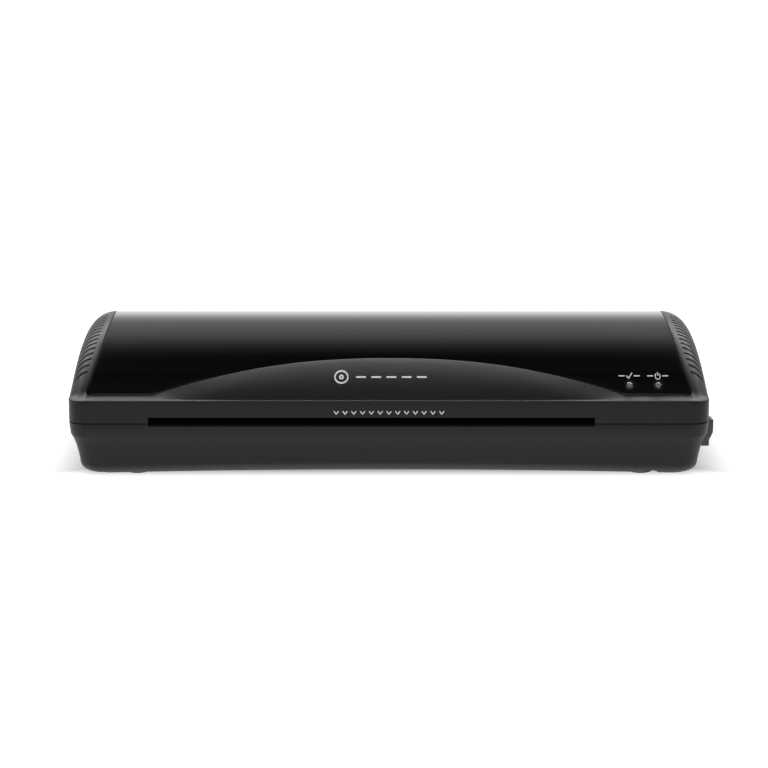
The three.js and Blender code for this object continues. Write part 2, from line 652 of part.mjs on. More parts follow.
function pressureSpring(side, x) {
  const path = new Helix(SPRING.radius, SPRING.topZ - SPRING.bottomZ, SPRING.turns);
  const wire = new THREE.ExtrudeGeometry(circle(SPRING.wire),
    { steps: 36, extrudePath: path, bevelEnabled: false, curveSegments: 3 });
  return piece(`pressure_spring_${side}`, wire.translate(x, ROLLER_Y, SPRING.bottomZ), STEEL);
}

function springCap(side, x) {
  const plate = block(x - 6, x + 6, ROLLER_Y - 13, ROLLER_Y + 13, FRAME_TOP_Z + GAP, FRAME_TOP_Z + 2.3);
  return piece(`spring_cap_${side}`, plate, STEEL);
}

function releaseParts() {
  const { y, z, radius, camRadius, camOffset } = RELEASE;
  const { hub, halfWidth } = LEVER;
  const shaft = barX(radius, LEVER.x - 4, FRAME_RIGHT_X + 2.4, y, z);
  const cams = [FRAME_LEFT_X + 1.6, FRAME_RIGHT_X - 5].map((x) => barX(camRadius, x, x + 3.4, y + camOffset, z));
  const arm = block(-halfWidth, halfWidth, radius + 0.5, LEVER.armEnd, -2.4, 2.4);
  const tab = block(-5, 5, LEVER.tabStart, LEVER.tabEnd, -1.8, 1.8);
  const lever = cut(join(barX(hub, -halfWidth, halfWidth, 0, 0), arm, tab), barX(radius + GAP, -5, 5, 0, 0))
    .rotateX(LEVER.angle)
    .translate(LEVER.x, y, z);
  return [
    piece('release_shaft', join(shaft, ...cams), STEEL),
    piece('release_lever', lever, SATIN_BLACK),
  ];
}

// ---------------------------------------------------------------- heating and paper path

// A curved strip along the rollers, between two radii, spread over an angle about straight up or straight down.
function curvedStrip(innerRadius, outerRadius, spread, middle, z, halfLength) {
  const shape = new THREE.Shape()
    .absarc(0, 0, outerRadius, middle - spread / 2, middle + spread / 2, false)
    .absarc(0, 0, innerRadius, middle + spread / 2, middle - spread / 2, true);
  return plateX(shape, PATH_X - halfLength, PATH_X + halfLength, 9).translate(0, ROLLER_Y, z);
}

function heater(level, z, middle) {
  const shoe = curvedStrip(ROLLER_RADIUS + 1, ROLLER_RADIUS + 2.6, rad(130), middle, z, 116);
  const element = curvedStrip(ROLLER_RADIUS + 2.9, ROLLER_RADIUS + 3.5, rad(90), middle, z, 112);
  return [piece(`${level}_heat_shoe`, shoe, ALUMINIUM), piece(`${level}_heater`, element, MICA)];
}

function thermalParts() {
  const restZ = UPPER_AXIS_Z + ROLLER_RADIUS + 3.5 + GAP;
  const flange = barZ(6.5, -30, ROLLER_Y, restZ, restZ + 3);
  const thermostat = join(flange, barZ(4.5, -30, ROLLER_Y, restZ + 2, restZ + 6));
  const fuse = barX(1.6, 24, 38, ROLLER_Y, restZ + 1.6, 12);
  return [piece('thermostat', thermostat, STEEL), piece('thermal_fuse', fuse, MICA)];
}

// A moulded guide from y0 to y1 whose pouch side is at the given height. Its outer end turns away from the path.
function guide(name, y0, y1, faceZ, away) {
  const lip = 3 * away;
  const innerY = y1 + Math.sign(y0 - y1);
  const outline = new THREE.Shape()
    .moveTo(y0, faceZ)
    .lineTo(y1, faceZ)
    .lineTo(y1, faceZ + lip)
    .lineTo(innerY, faceZ + lip)
    .lineTo(innerY, faceZ + away)
    .lineTo(y0, faceZ + away);
  return piece(name, plateX(outline, PATH_X - GUIDE_HALF_WIDTH, PATH_X + GUIDE_HALF_WIDTH), SATIN_BLACK);
}

// ---------------------------------------------------------------- electrical parts

const SWITCH_STEP = 1;             // the switch's body is this much smaller all round than its collar
const SWITCH_RIM = 0.7;           // of the collar, round the window

// A rocker with two flat faces that meet at a ridge. It is tilted so that its upper face stands upright.
function switchParts() {
  const { face, back } = SWITCH;
  const { tilt, ridge, halfHeight, halfWidth } = ROCKER;
  const collar = join(switchBlock(back, face, 0), switchBlock(-18, back + 1, -SWITCH_STEP));
  const windowTool = block(-6.5, face + 1, -halfWidth - 0.35, halfWidth + 0.35,
    SWITCH_RIM - SWITCH.height / 2, SWITCH.height / 2 - SWITCH_RIM).translate(SWITCH.x, SWITCH.y, SWITCH.z);
  const end = ridge - halfHeight * Math.tan(tilt);
  const profile = new THREE.Shape()
    .moveTo(-4.5, -4)
    .lineTo(end - 0.8, -halfHeight)
    .lineTo(end, 0.1 - halfHeight)
    .lineTo(ridge, 0)
    .lineTo(end, halfHeight - 0.1)
    .lineTo(end - 0.8, halfHeight)
    .lineTo(-4.5, 4);
  const rocker = new THREE.ExtrudeGeometry(profile, { depth: 2 * halfWidth, bevelEnabled: false })
    .rotateX(Math.PI / 2)
    .translate(0, halfWidth, 0)
    .rotateY(tilt)
    .translate(SWITCH.x, SWITCH.y, SWITCH.z);
  return [
    piece('switch_housing', cut(collar, windowTool), GLOSS_BLACK),
    piece('switch_rocker', rocker, GLOSS_BLACK),
  ];
}

function powerInlet() {
  const { x, y, z, width, height, lip, depth } = INLET;
  const flange = block(x - width / 2, x + width / 2, y, y + lip, z - height / 2, z + height / 2);
  const body = block(x - 10.5, x + 10.5, y - depth, y + 0.5, z - 5.5, z + 5.5);
  const lobe = (side) => new THREE.CylinderGeometry(3.7, 3.7, 13, 20).translate(x + side * 3.3, y - 3.9, z);
  const waist = block(x - 3.3, x + 3.3, y - 10.4, y + 2.6, z - 2.9, z + 2.9);
  const pin = (side) => new THREE.CylinderGeometry(1.2, 1.2, 10, 12).translate(x + side * 4.3, y - 6.5, z);
  const socket = cut(join(flange, body), lobe(-1), lobe(1), waist);
  return piece('power_inlet', join(socket, pin(-1), pin(1)), SATIN_BLACK);
}

function controlBoard() {
  return [
    piece('control_board', block(-158, -139, -45, 25, 12, 13.6), BOARD_GREEN),
    piece('board_relay', block(-156, -144, -30, -14, 13.9, 28), WIRE_RED),
    piece('board_capacitor', barZ(5.5, -151, 8, 13.9, 30), MICA),
  ];
}

const MAINS_LEAD_ROUTE = [
  [148.5, -53, 17.5], [146, -40, 12], [154, -10, 10], [154, 30, 10], [140, 50, 15], [128, 52.5, INLET.z],
];
const BOARD_LEAD_ROUTE = [
  [148, -44, 20], [120, -50, 14], [40, -50, 14], [-60, -50, 14], [-137, -50, 14], [-150, -47.5, 14],
];

function lead(name, points) {
  const path = new THREE.CatmullRomCurve3(points.map((point) => new THREE.Vector3(...point)), false, 'centripetal');
  return piece(name, new THREE.ExtrudeGeometry(circle(1.6),
    { steps: 24, extrudePath: path, bevelEnabled: false, curveSegments: 3 }), WIRE_RED);
}

// ---------------------------------------------------------------- assembly

const laminator = new THREE.Group();
laminator.add(
  lowerShell(),
  upperShell(),
  glossCover(),
  ...INDICATORS.flatMap(indicatorParts),
  indicatorBoard(),
  ...FEET.map(foot),
  ...SCREWS.map(caseScrew),
  ...roller('lower', LOWER_AXIS_Z),
  ...roller('upper', UPPER_AXIS_Z),
  ...gears(),
  gearMotor(),
  ...STANDOFFS.map(motorStandoff),
  sideFrame('side_frame_left', FRAME_LEFT_X, 26),
  sideFrame('side_frame_right', FRAME_RIGHT_X, 46),
  tieBar('front_tie_bar', -31),
  tieBar('rear_tie_bar', 21),
  lowerBushing('left', FRAME_LEFT_X),
  lowerBushing('right', FRAME_RIGHT_X),
  bearingBlock('left', FRAME_LEFT_X, 1),
  bearingBlock('right', FRAME_RIGHT_X, -1),
  pressureSpring('left', FRAME_LEFT_X),
  pressureSpring('right', FRAME_RIGHT_X),
  springCap('left', FRAME_LEFT_X),
  springCap('right', FRAME_RIGHT_X),
  ...releaseParts(),
  ...heater('upper', UPPER_AXIS_Z, Math.PI / 2),
  ...heater('lower', LOWER_AXIS_Z, -Math.PI / 2),
  ...thermalParts(),
  guide('entry_guide_lower', -16, -68.6, GUIDE_LOWER_Z, -1),
  guide('entry_guide_upper', -16, -68.6, GUIDE_UPPER_Z, 1),
  guide('exit_guide_lower', 8.5, 68.6, GUIDE_LOWER_Z, -1),
  guide('exit_guide_upper', 8.5, 68.6, GUIDE_UPPER_Z, 1),
  ...switchParts(),
  powerInlet(),
  ...controlBoard(),
  lead('mains_lead', MAINS_LEAD_ROUTE),
  lead('board_lead', BOARD_LEAD_ROUTE),
);

const box = new THREE.Box3().setFromObject(laminator);
const middle = (box.min.x + box.max.x) / 2;
laminator.children.forEach((mesh) => mesh.geometry.translate(-middle, 0, 0));

export default laminator;
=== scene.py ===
import json
from math import acos, asin, cos, pi, radians, sin, sqrt, tan

import bmesh
import bpy
from mathutils import Matrix, Vector


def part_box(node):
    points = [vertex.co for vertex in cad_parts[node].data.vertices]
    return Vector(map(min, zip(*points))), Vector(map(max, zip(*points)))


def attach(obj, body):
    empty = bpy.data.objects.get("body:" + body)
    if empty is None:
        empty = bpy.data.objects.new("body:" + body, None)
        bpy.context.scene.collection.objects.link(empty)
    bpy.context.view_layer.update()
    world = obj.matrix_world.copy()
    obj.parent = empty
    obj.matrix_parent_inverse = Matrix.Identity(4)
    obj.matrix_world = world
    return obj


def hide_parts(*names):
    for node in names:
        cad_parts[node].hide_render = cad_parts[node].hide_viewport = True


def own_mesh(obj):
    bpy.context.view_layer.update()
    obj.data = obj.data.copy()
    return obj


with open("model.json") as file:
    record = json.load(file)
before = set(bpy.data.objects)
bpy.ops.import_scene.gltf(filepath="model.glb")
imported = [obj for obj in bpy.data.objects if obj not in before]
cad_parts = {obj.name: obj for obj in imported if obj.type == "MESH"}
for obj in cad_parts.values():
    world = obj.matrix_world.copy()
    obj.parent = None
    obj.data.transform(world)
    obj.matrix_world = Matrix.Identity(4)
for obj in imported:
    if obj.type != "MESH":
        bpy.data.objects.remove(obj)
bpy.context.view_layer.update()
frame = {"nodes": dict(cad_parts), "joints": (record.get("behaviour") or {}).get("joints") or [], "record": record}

# An A4 pouch laminator in satin black plastic with an inlaid piano-black cover.
# Metres, in the row frame: +X is the operator's right, the front faces -Y, +Z is up.
# Heights are measured up from the seam between the two shells and setbacks back from the front plane.

MM = 0.001

# ---- sizes taken from the frame


def joint(name):
    """The frame's entry for a joint."""
    return next(j for j in frame["joints"] if j["name"] == name)


def centre_of(node):
    low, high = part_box(node)
    return (low + high) / 2


SLOT_OF = {part["node"]: part["material_slot"] for part in frame["record"]["subparts"]}
BODY_OF = {node: body for body, nodes in frame["record"]["behaviour"]["bodies"].items() for node in nodes}
SEAM_GAP = 0.3 * MM
shell_low, shell_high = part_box("upper_shell")
CENTRE_X = (shell_low.x + shell_high.x) / 2
HALF_WIDTH = (shell_high.x - shell_low.x) / 2
HALF_DEPTH = (shell_high.y - shell_low.y) / 2
SEAM_Z = shell_low.z - SEAM_GAP
CREST_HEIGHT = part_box("gloss_cover")[1].z - SEAM_Z
FLOOR_DEPTH = SEAM_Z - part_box("lower_shell")[0].z       # from the seam down to the underside

# ---- driving dimensions

WALL = 2.5 * MM
CORNER_RADIUS = 8.7 * MM          # plan corners of the case
BAND_HEIGHT = 12.45 * MM          # the upright band above the seam, up to the ridge
BAND_DRAFT = 0.4 * MM
RIDGE_ROUND = 0.7 * MM
FRONT_ARC = 70 * MM               # the cover's curve in front of the crest
PANEL_FOOT_HEIGHT = 14.6 * MM     # lower edge of the cover
PANEL_FOOT_SETBACK = 5.6 * MM
PANEL_FOOT_SLOPE = acos(1 - (CREST_HEIGHT - PANEL_FOOT_HEIGHT) / FRONT_ARC)
CREST_SETBACK = PANEL_FOOT_SETBACK + FRONT_ARC * sin(PANEL_FOOT_SLOPE)
REAR_FOOT_SETBACK = 2 * HALF_DEPTH - 3.4 * MM
REAR_FOOT_HEIGHT = 13.4 * MM
REAR_RUN = REAR_FOOT_SETBACK - CREST_SETBACK
REAR_DROP = CREST_HEIGHT - REAR_FOOT_HEIGHT
REAR_ARC = (REAR_RUN ** 2 + REAR_DROP ** 2) / (2 * REAR_DROP)
REAR_END = REAR_ARC * asin(REAR_RUN / REAR_ARC)     # arc length from the crest to the rear foot
CAP_START = 150 * MM              # the ends round over from here
CAP_BASE = 12 * MM
CAP_POWER = 2.6
CEILING_DROP = 4.6 * MM
COVER_THICKNESS = 1.8 * MM
COVER_GAP = 0.35 * MM             # shadow line round the inlaid cover
COVER_CORNER = 2.6 * MM
COVER_END_SETBACK = 2 * HALF_DEPTH - 42 * MM
COVER_END = REAR_ARC * asin((COVER_END_SETBACK - CREST_SETBACK) / REAR_ARC)
COVER_FOOT_HALF_WIDTH = 159 * MM
COVER_SIDE_LEAN = 0.2857
COVER_REAR_FLARE = 2 * MM
ARCH_HALF_WIDTH = 124 * MM
ARCH_RISE = 16.4 * MM
ARCH_POWER = 2.3
SHELF = 1.1 * MM                  # flat strip between the ridge and the apron under the arch
SHELF_SLOPE = 0.14
SHELF_SHARE = 0.2                 # of the rows between the ridge and the cover
LEDGE_BEND = (0.48, -0.12)        # control point of the ledge, along and out from its chord
APRON_BEND = (0.4, 0.15)          # the apron's, in the middle of the arch

# ---- mesh helpers


def lerp(a, b, share):
    return a + (b - a) * share


def bezier(a, control, b, share):
    return lerp(lerp(a, control, share), lerp(control, b, share), share)


def link(name, data):
    """A new object in the scene, with a mesh, a light or a camera as its data."""
    obj = bpy.data.objects.new(name, data)
    bpy.context.scene.collection.objects.link(obj)
    return obj


def plain_object(name, points, faces):
    mesh = bpy.data.meshes.new(name)
    mesh.from_pydata([tuple(p) for p in points], [], faces)
    return link(name, mesh)


def mesh_object(name, points, faces, sharp=30):
    """A closed mesh, facing outwards, smooth except at edges sharper than the angle."""
    obj = plain_object(name, points, faces)
    bm = bmesh.new()
    bm.from_mesh(obj.data)
    bmesh.ops.remove_doubles(bm, verts=bm.verts, dist=1e-7)
    bmesh.ops.recalc_face_normals(bm, faces=bm.faces)
    bm.to_mesh(obj.data)
    bm.free()
    shade(obj, sharp)
    return obj


def shade(obj, sharp=30):
    """Smooth shading except at edges sharper than the angle."""
    mesh = obj.data
    mesh.polygons.foreach_set("use_smooth", [True] * len(mesh.polygons))
    bm = bmesh.new()
    bm.from_mesh(mesh)
    limit = radians(sharp)
    for edge in bm.edges:
        edge.smooth = edge.calc_face_angle(0) < limit
    bm.to_mesh(mesh)
    bm.free()


def strip(first, second):
    """Quads between two closed rows of point numbers."""
    count = len(first)
    return [(first[i], first[(i + 1) % count], second[(i + 1) % count], second[i]) for i in range(count)]


def stacked(rings):
    """The points of rings of equal counts, the rows of their numbers and the quads between the rows."""
    points = [p for ring in rings for p in ring]
    count = len(rings[0])
    rows = [list(range(i * count, (i + 1) * count)) for i in range(len(rings))]
    return points, rows, [face for a, b in zip(rows, rows[1:]) for face in strip(a, b)]


def loft(name, rings, sharp=30):
    """A closed body through rings, with an n-sided cap at both ends."""
    points, rows, faces = stacked(rings)
    return mesh_object(name, points, faces + [tuple(rows[0]), tuple(rows[-1])], sharp)


def rounded_outline(half_width, half_height, radius, steps=6):
    """Points of a rounded rectangle, anticlockwise from the right side."""
    radius = min(radius, half_width, half_height)
    points = []
    for quarter in range(4):
        middle = Vector(((half_width - radius) * (1, -1, -1, 1)[quarter],
                         (half_height - radius) * (1, 1, -1, -1)[quarter]))
        for step in range(steps + 1):
            angle = radians(90 * (quarter + step / steps))
            points.append(middle + radius * Vector((cos(angle), sin(angle))))
    return points


def slab(name, half_width, half_height, radius, levels, where, steps=6):
    """A rounded block along +Z through levels: (height, how far its outline lies inside)."""
    rings = []
    for height, inside in levels:
        corner = max(radius - inside, 0.05 * MM)
        outline = rounded_outline(half_width - inside, half_height - inside, corner, steps)
        rings.append([where @ Vector((p.x, p.y, height)) for p in outline])
    return loft(name, rings)


def lathe(name, profile, where, sides=48, sharp=40):
    """Turns (radius, height) pairs about +Z. A profile that starts off the axis closes on itself."""
    turns = [2 * pi * k / sides for k in range(sides)]
    rings = [[where @ Vector((radius * cos(a), radius * sin(a), height)) for a in turns]
             for radius, height in profile]
    points, rows, faces = stacked(rings)
    if profile[0][0] > 0:
        faces += strip(rows[-1], rows[0])
    return mesh_object(name, points, [tuple(dict.fromkeys(f)) for f in faces], sharp)


def rod(radius, start, end, where):
    """A round cutter along +Z."""
    return lathe("rod", [(0, start), (radius, start), (radius, end), (0, end)], where, 40)


def joined(name, objects):
    """One object from several."""
    bm = bmesh.new()
    for obj in objects:
        bm.from_mesh(obj.data)
        bpy.data.objects.remove(obj)
    mesh = bpy.data.meshes.new(name)
    bm.to_mesh(mesh)
    bm.free()
    return link(name, mesh)


def combine(obj, others, operation, sharp=30):
    """Applies a boolean operation with the others and removes them."""
    other = joined("other", others)
    modifier = obj.modifiers.new("combine", "BOOLEAN")
    modifier.operation = operation
    modifier.solver = "EXACT"
    modifier.object = other
    graph = bpy.context.evaluated_depsgraph_get()
    mesh = bpy.data.meshes.new_from_object(obj.evaluated_get(graph))
    obj.modifiers.clear()
    obj.data = mesh
    bpy.data.objects.remove(other)
    shade(obj, sharp)


def cut(obj, cutters, sharp=30):
    """Cuts the cutters, which mustn't touch each other, out of the object for good."""
    combine(obj, cutters, "DIFFERENCE", sharp)


def unite(obj, others):
    """Melts the others into the object for good."""
    combine(obj, others, "UNION")


def bevelled(obj, width, segments=3):
    """Rounds the edges of a built piece."""
    modifier = obj.modifiers.new("edges", "BEVEL")
    modifier.width = width
    modifier.segments = segments
    modifier.limit_method = "ANGLE"
    modifier.angle_limit = radians(35)
    modifier.harden_normals = True
    return obj


def dress(obj, look, body="case"):
    """Gives a piece its material and the body that it rides on."""
    obj.data.materials.clear()
    obj.data.materials.append(look)
    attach(obj, body)


def replace_node(node, obj):
    """Puts a piece in the place of a node: in its material slot, on its body."""
    dress(obj, LOOKS[SLOT_OF[node]], BODY_OF[node])
    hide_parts(node)


# ---- case surface


def arch_height(x):
    """Height of the cover's lower edge above the seam."""
    share = min(1, abs(x) / ARCH_HALF_WIDTH)
    return PANEL_FOOT_HEIGHT + ARCH_RISE * (1 - share ** ARCH_POWER)


def arc_place(along, sink=0):
    """(setback, height) at an arc length behind the crest, moved into the case by sink."""
    radius = FRONT_ARC if along < 0 else REAR_ARC
    angle = along / radius
    return (CREST_SETBACK + (radius - sink) * sin(angle),
            CREST_HEIGHT - radius + (radius - sink) * cos(angle))


def front_along(height):
    """Arc length, negative in front of the crest, at which the front curve has this height."""
    return -FRONT_ARC * acos(1 - (CREST_HEIGHT - height) / FRONT_ARC)


def cap_share(x):
    """How much of the height above the cap's base is left at x."""
    reach = min(1, max(0, (abs(x) - CAP_START) / (HALF_WIDTH - CAP_START)))
    return (1 - reach ** CAP_POWER) ** (1 / CAP_POWER)


def corner_setback(x, half_width=HALF_WIDTH):
    """How far the rounded plan corner sets the front back at x."""
    past = abs(x) - (half_width - CORNER_RADIUS)
    return 0 if past <= 0 else CORNER_RADIUS - sqrt(max(0, CORNER_RADIUS ** 2 - past ** 2))


def place(x, setback, height):
    """A point of the case in the row frame, with its ends and corners rounded."""
    squeeze = 1 - corner_setback(x) / HALF_DEPTH
    above = max(0, height - CAP_BASE) * cap_share(x)
    return Vector((CENTRE_X + x, (setback - HALF_DEPTH) * squeeze, SEAM_Z + min(height, CAP_BASE) + above))


def on_top(x, along, sink=0):
    """A point of the curved top, or below it by sink."""
    return place(x, *arc_place(along, sink))


def cover_edge(along):
    """Half the cover's width at an arc length."""
    if along > 0:
        return cover_edge(0) + COVER_REAR_FLARE * min(1, along / COVER_END)
    height = arc_place(along)[1]
    return COVER_FOOT_HALF_WIDTH - COVER_SIDE_LEAN * (height - PANEL_FOOT_HEIGHT)


# ---- grid over the case

ARCH_COLUMNS = 30                 # on each side, as far as the arch reaches
FLANK_COLUMNS = 7                 # from the arch's end to the cover's corner
CORNER_COLUMNS = 6                # round the cover's corner
CAP_COLUMNS = 20                  # from the cover's edge round the end of the case
EDGE_COLUMN = ARCH_COLUMNS + FLANK_COLUMNS + CORNER_COLUMNS
LAST_COLUMN = EDGE_COLUMN + CAP_COLUMNS
APRON_ROWS = 10
FRONT_ROWS = 26
BACK_ROWS = 14
TAIL_ROWS = 14
COVER_ROWS = FRONT_ROWS + BACK_ROWS


def column_foot(column, grow):
    """Arc length of the cover's lower edge at a column, where grow widens the cover's outline."""
    k = abs(column)
    if k <= ARCH_COLUMNS:
        return front_along(arch_height(ARCH_HALF_WIDTH * k / ARCH_COLUMNS)) - grow
    foot = front_along(PANEL_FOOT_HEIGHT)
    if k > EDGE_COLUMN:
        return foot
    turn = corner_turn(k)
    return foot - grow + (COVER_CORNER + grow) * (1 - cos(turn))


def corner_turn(k):
    """How far round the cover's corner a column lies."""
    return max(0, k - ARCH_COLUMNS - FLANK_COLUMNS) / CORNER_COLUMNS * pi / 2


def column_x(column, along, grow):
    k = abs(column)
    side = 1 if column >= 0 else -1
    edge = cover_edge(along)
    if k <= ARCH_COLUMNS:
        return side * ARCH_HALF_WIDTH * k / ARCH_COLUMNS
    if k <= ARCH_COLUMNS + FLANK_COLUMNS:
        return side * lerp(ARCH_HALF_WIDTH, edge - COVER_CORNER, (k - ARCH_COLUMNS) / FLANK_COLUMNS)
    if k <= EDGE_COLUMN:
        return side * (edge - COVER_CORNER + (COVER_CORNER + grow) * sin(corner_turn(k)))
    start = ((edge + grow - CAP_START) / (HALF_WIDTH - CAP_START)) ** (CAP_POWER / 2)
    turn = lerp(asin(start), pi / 2, (k - EDGE_COLUMN) / CAP_COLUMNS)
    return side * (CAP_START + (HALF_WIDTH - CAP_START) * sin(turn) ** (2 / CAP_POWER))


def cover_node(row, column, grow=0):
    """(x, along) of a grid point of the cover, or of the case beside it in the columns past its edge."""
    foot = column_foot(column, grow)
    if row <= FRONT_ROWS:
        along = foot * (1 - row / FRONT_ROWS)
    else:
        along = (COVER_END + grow) * (row - FRONT_ROWS) / BACK_ROWS
    return column_x(column, along, grow), along


def inlay(points, faces, number, rings, sink, rows, columns):
    """Adds the rings round a patch of the grid and the patch itself, and numbers the outer ring's points.

    Each ring is (grow, sink). The patch's own border is the last ring."""
    border = ([(rows[0], c) for c in columns] + [(r, columns[-1]) for r in rows[1:]]
              + [(rows[-1], c) for c in columns[-2::-1]] + [(r, columns[0]) for r in rows[-2:0:-1]])
    loops = []
    for grow, depth in rings:
        loops.append(range(len(points), len(points) + len(border)))
        points += [on_top(*cover_node(r, c, grow), depth) for r, c in border]
    for a, b in zip(loops, loops[1:]):
        faces += strip(a, b)
    grow = rings[-1][0]
    patch = dict(zip(border, loops[-1]))
    for r in rows[1:-1]:
        for c in columns[1:-1]:
            patch[r, c] = len(points)
            points.append(on_top(*cover_node(r, c, grow), sink))
    for r, r_next in zip(rows, rows[1:]):
        for c, c_next in zip(columns, columns[1:]):
            faces.append((patch[r, c], patch[r, c_next], patch[r_next, c_next], patch[r_next, c]))
    number.update(zip(border, loops[0]))


COVER_ROW_LIST = list(range(COVER_ROWS + 1))
COVER_COLUMN_LIST = list(range(-EDGE_COLUMN, EDGE_COLUMN + 1))
ALL_COLUMNS = list(range(-LAST_COLUMN, LAST_COLUMN + 1))
LIP = COVER_GAP + 0.5 * MM        # the bed's rounded lip starts this far outside the cover
BED_DEPTH = COVER_THICKNESS + 0.3 * MM


def ridge(x):
    """The front ridge's corner and the foot of the band under it."""
    return place(x, BAND_DRAFT, BAND_HEIGHT), place(x, 0, SEAM_GAP)


def rear_ridge(x):
    """The same at the rear."""
    return place(x, 2 * HALF_DEPTH - BAND_DRAFT, BAND_HEIGHT), place(x, 2 * HALF_DEPTH, SEAM_GAP)


def toward(start, target, distance):
    """A point at a distance from the start, in the target's direction."""
    return start + (target - start).normalized() * distance


def shelf_start(x, border):
    """Where the ridge's rounding ends, and a point that the nearly flat strip behind it heads for."""
    corner = ridge(x)[0]
    rise = min(0.6 * (border.z - corner.z), SHELF_SLOPE * abs(border.y - corner.y))
    target = Vector((border.x, border.y, corner.z + rise))
    return toward(corner, target, RIDGE_ROUND), target


def apron_point(x, border, share):
    """A point between the ridge and the cover: a hollow ledge that turns into an apron under the arch."""
    start, target = shelf_start(x, border)
    rise = (arch_height(x) - PANEL_FOOT_HEIGHT) / ARCH_RISE
    foot = toward(start, target, SHELF * min(1, 5 * rise))
    if share < SHELF_SHARE:
        return lerp(start, foot, share / SHELF_SHARE)
    chord = border - foot
    outward = Vector((0, -chord.z, chord.y))
    weight = min(1, 1.6 * rise)
    bend = [lerp(a, b, weight) for a, b in zip(LEDGE_BEND, APRON_BEND)]
    control = foot + chord * bend[0] + outward * bend[1]
    return bezier(foot, control, border, (share - SHELF_SHARE) / (1 - SHELF_SHARE))


FIRST_ROW = -APRON_ROWS           # along the front ridge
LAST_ROW = COVER_ROWS + TAIL_ROWS + 1
RIDGE_STEPS = 4
BAND_STEPS = 3
BED_LIP = [(LIP, 0), (COVER_GAP + 0.22 * MM, 0.07 * MM), (COVER_GAP + 0.06 * MM, 0.2 * MM),
           (COVER_GAP, 0.4 * MM), (COVER_GAP, BED_DEPTH)]


def shell_skin(points, faces):
    """The outside above the ridge: apron, cover's bed, caps and tail. Returns its points' numbers."""
    number = {}
    inlay(points, faces, number, BED_LIP, BED_DEPTH, COVER_ROW_LIST, COVER_COLUMN_LIST)

    def add(row, column, point):
        number[row, column] = len(points)
        points.append(point)

    for c in ALL_COLUMNS:
        if abs(c) > EDGE_COLUMN:
            for r in COVER_ROW_LIST:
                add(r, c, on_top(*cover_node(r, c, LIP)))
        border = points[number[0, c]]
        for step in range(APRON_ROWS):
            add(step - APRON_ROWS, c, apron_point(border.x - CENTRE_X, border, step / APRON_ROWS))
        end_x, end_along = cover_node(COVER_ROWS, c, LIP)
        for step in range(1, TAIL_ROWS + 1):
            add(COVER_ROWS + step, c, on_top(end_x, lerp(end_along, REAR_END, step / TAIL_ROWS)))
        tail = points[number[LAST_ROW - 1, c]]
        add(LAST_ROW, c, toward(rear_ridge(end_x)[0], tail, RIDGE_ROUND))

    for r in range(FIRST_ROW, LAST_ROW):
        for c in ALL_COLUMNS[:-1]:
            in_bed = 0 <= r < COVER_ROWS and -EDGE_COLUMN <= c < EDGE_COLUMN
            if not in_bed:
                faces.append((number[r, c], number[r, c + 1], number[r + 1, c + 1], number[r + 1, c]))
    return number


def shell_rim(points, number):
    """Every edge point of the skin, with the corner of the ridge and the foot of the band below it."""
    def along_row(row, corner_and_foot):
        numbers = [number[row, c] for c in ALL_COLUMNS]
        return [(k, *corner_and_foot(points[k].x - CENTRE_X)) for k in numbers]

    sides = {1: [], -1: []}
    for side, entries in sides.items():
        for r in range(FIRST_ROW + 1, LAST_ROW):
            edge = points[number[r, side * LAST_COLUMN]]
            foot = Vector((edge.x, edge.y, SEAM_Z + SEAM_GAP))
            entries.append((number[r, side * LAST_COLUMN], lerp(edge, foot, 0.05), foot))
    return along_row(FIRST_ROW, ridge) + sides[1] + along_row(LAST_ROW, rear_ridge)[::-1] + sides[-1][::-1]


def drawn_in(point, distance, drop=0):
    """A point of the case's outside moved towards its middle, and down."""
    return Vector((CENTRE_X + (point.x - CENTRE_X) * (1 - distance / HALF_WIDTH),
                   point.y * (1 - distance / HALF_DEPTH), point.z - drop))


def shell_band(points, faces, rim):
    """The rounded ridge and the band under it. Returns the numbers of its lower edge."""
    upper = [entry[0] for entry in rim]
    for level in range(1, RIDGE_STEPS + BAND_STEPS + 2):
        row = []
        for edge_number, corner, foot in rim:
            band_top = toward(corner, foot, RIDGE_ROUND)
            below = level - RIDGE_STEPS
            if below <= 0:
                point = bezier(points[edge_number], corner, band_top, level / RIDGE_STEPS)
            elif below <= BAND_STEPS:
                point = lerp(band_top, foot + Vector((0, 0, 0.25 * MM)), below / BAND_STEPS)
            else:
                point = drawn_in(foot, 0.2 * MM)
            row.append(len(points))
            points.append(point)
        faces += strip(upper, row)
        upper = row
    return upper


def shell_inside(points, faces, number, outer_edge):
    """The skin's grid without the bed, drawn in by the wall and lowered, down to the band's edge."""
    inner = {}
    for r in range(FIRST_ROW, LAST_ROW + 1):
        for c in ALL_COLUMNS:
            outside = points[number[r, c]] if (r, c) in number else on_top(*cover_node(r, c, LIP))
            inner[r, c] = len(points)
            points.append(drawn_in(outside, WALL, CEILING_DROP))
    for r in range(FIRST_ROW, LAST_ROW):
        for c in ALL_COLUMNS[:-1]:
            faces.append((inner[r, c], inner[r + 1, c], inner[r + 1, c + 1], inner[r, c + 1]))
    order = [(FIRST_ROW, c) for c in ALL_COLUMNS]
    order += [(r, LAST_COLUMN) for r in range(FIRST_ROW + 1, LAST_ROW)]
    order += [(LAST_ROW, c) for c in ALL_COLUMNS[::-1]]
    order += [(r, -LAST_COLUMN) for r in range(LAST_ROW - 1, FIRST_ROW, -1)]
    edge = range(len(points), len(points) + len(outer_edge))
    points += [drawn_in(points[k], WALL) for k in outer_edge]
    faces += strip([inner[key] for key in order], edge)
    faces += strip(edge, outer_edge)


def upper_shell():
    points = []
    faces = []
    number = shell_skin(points, faces)
    lower_edge = shell_band(points, faces, shell_rim(points, number))
    shell_inside(points, faces, number, lower_edge)
    return mesh_object("case_top", points, faces)


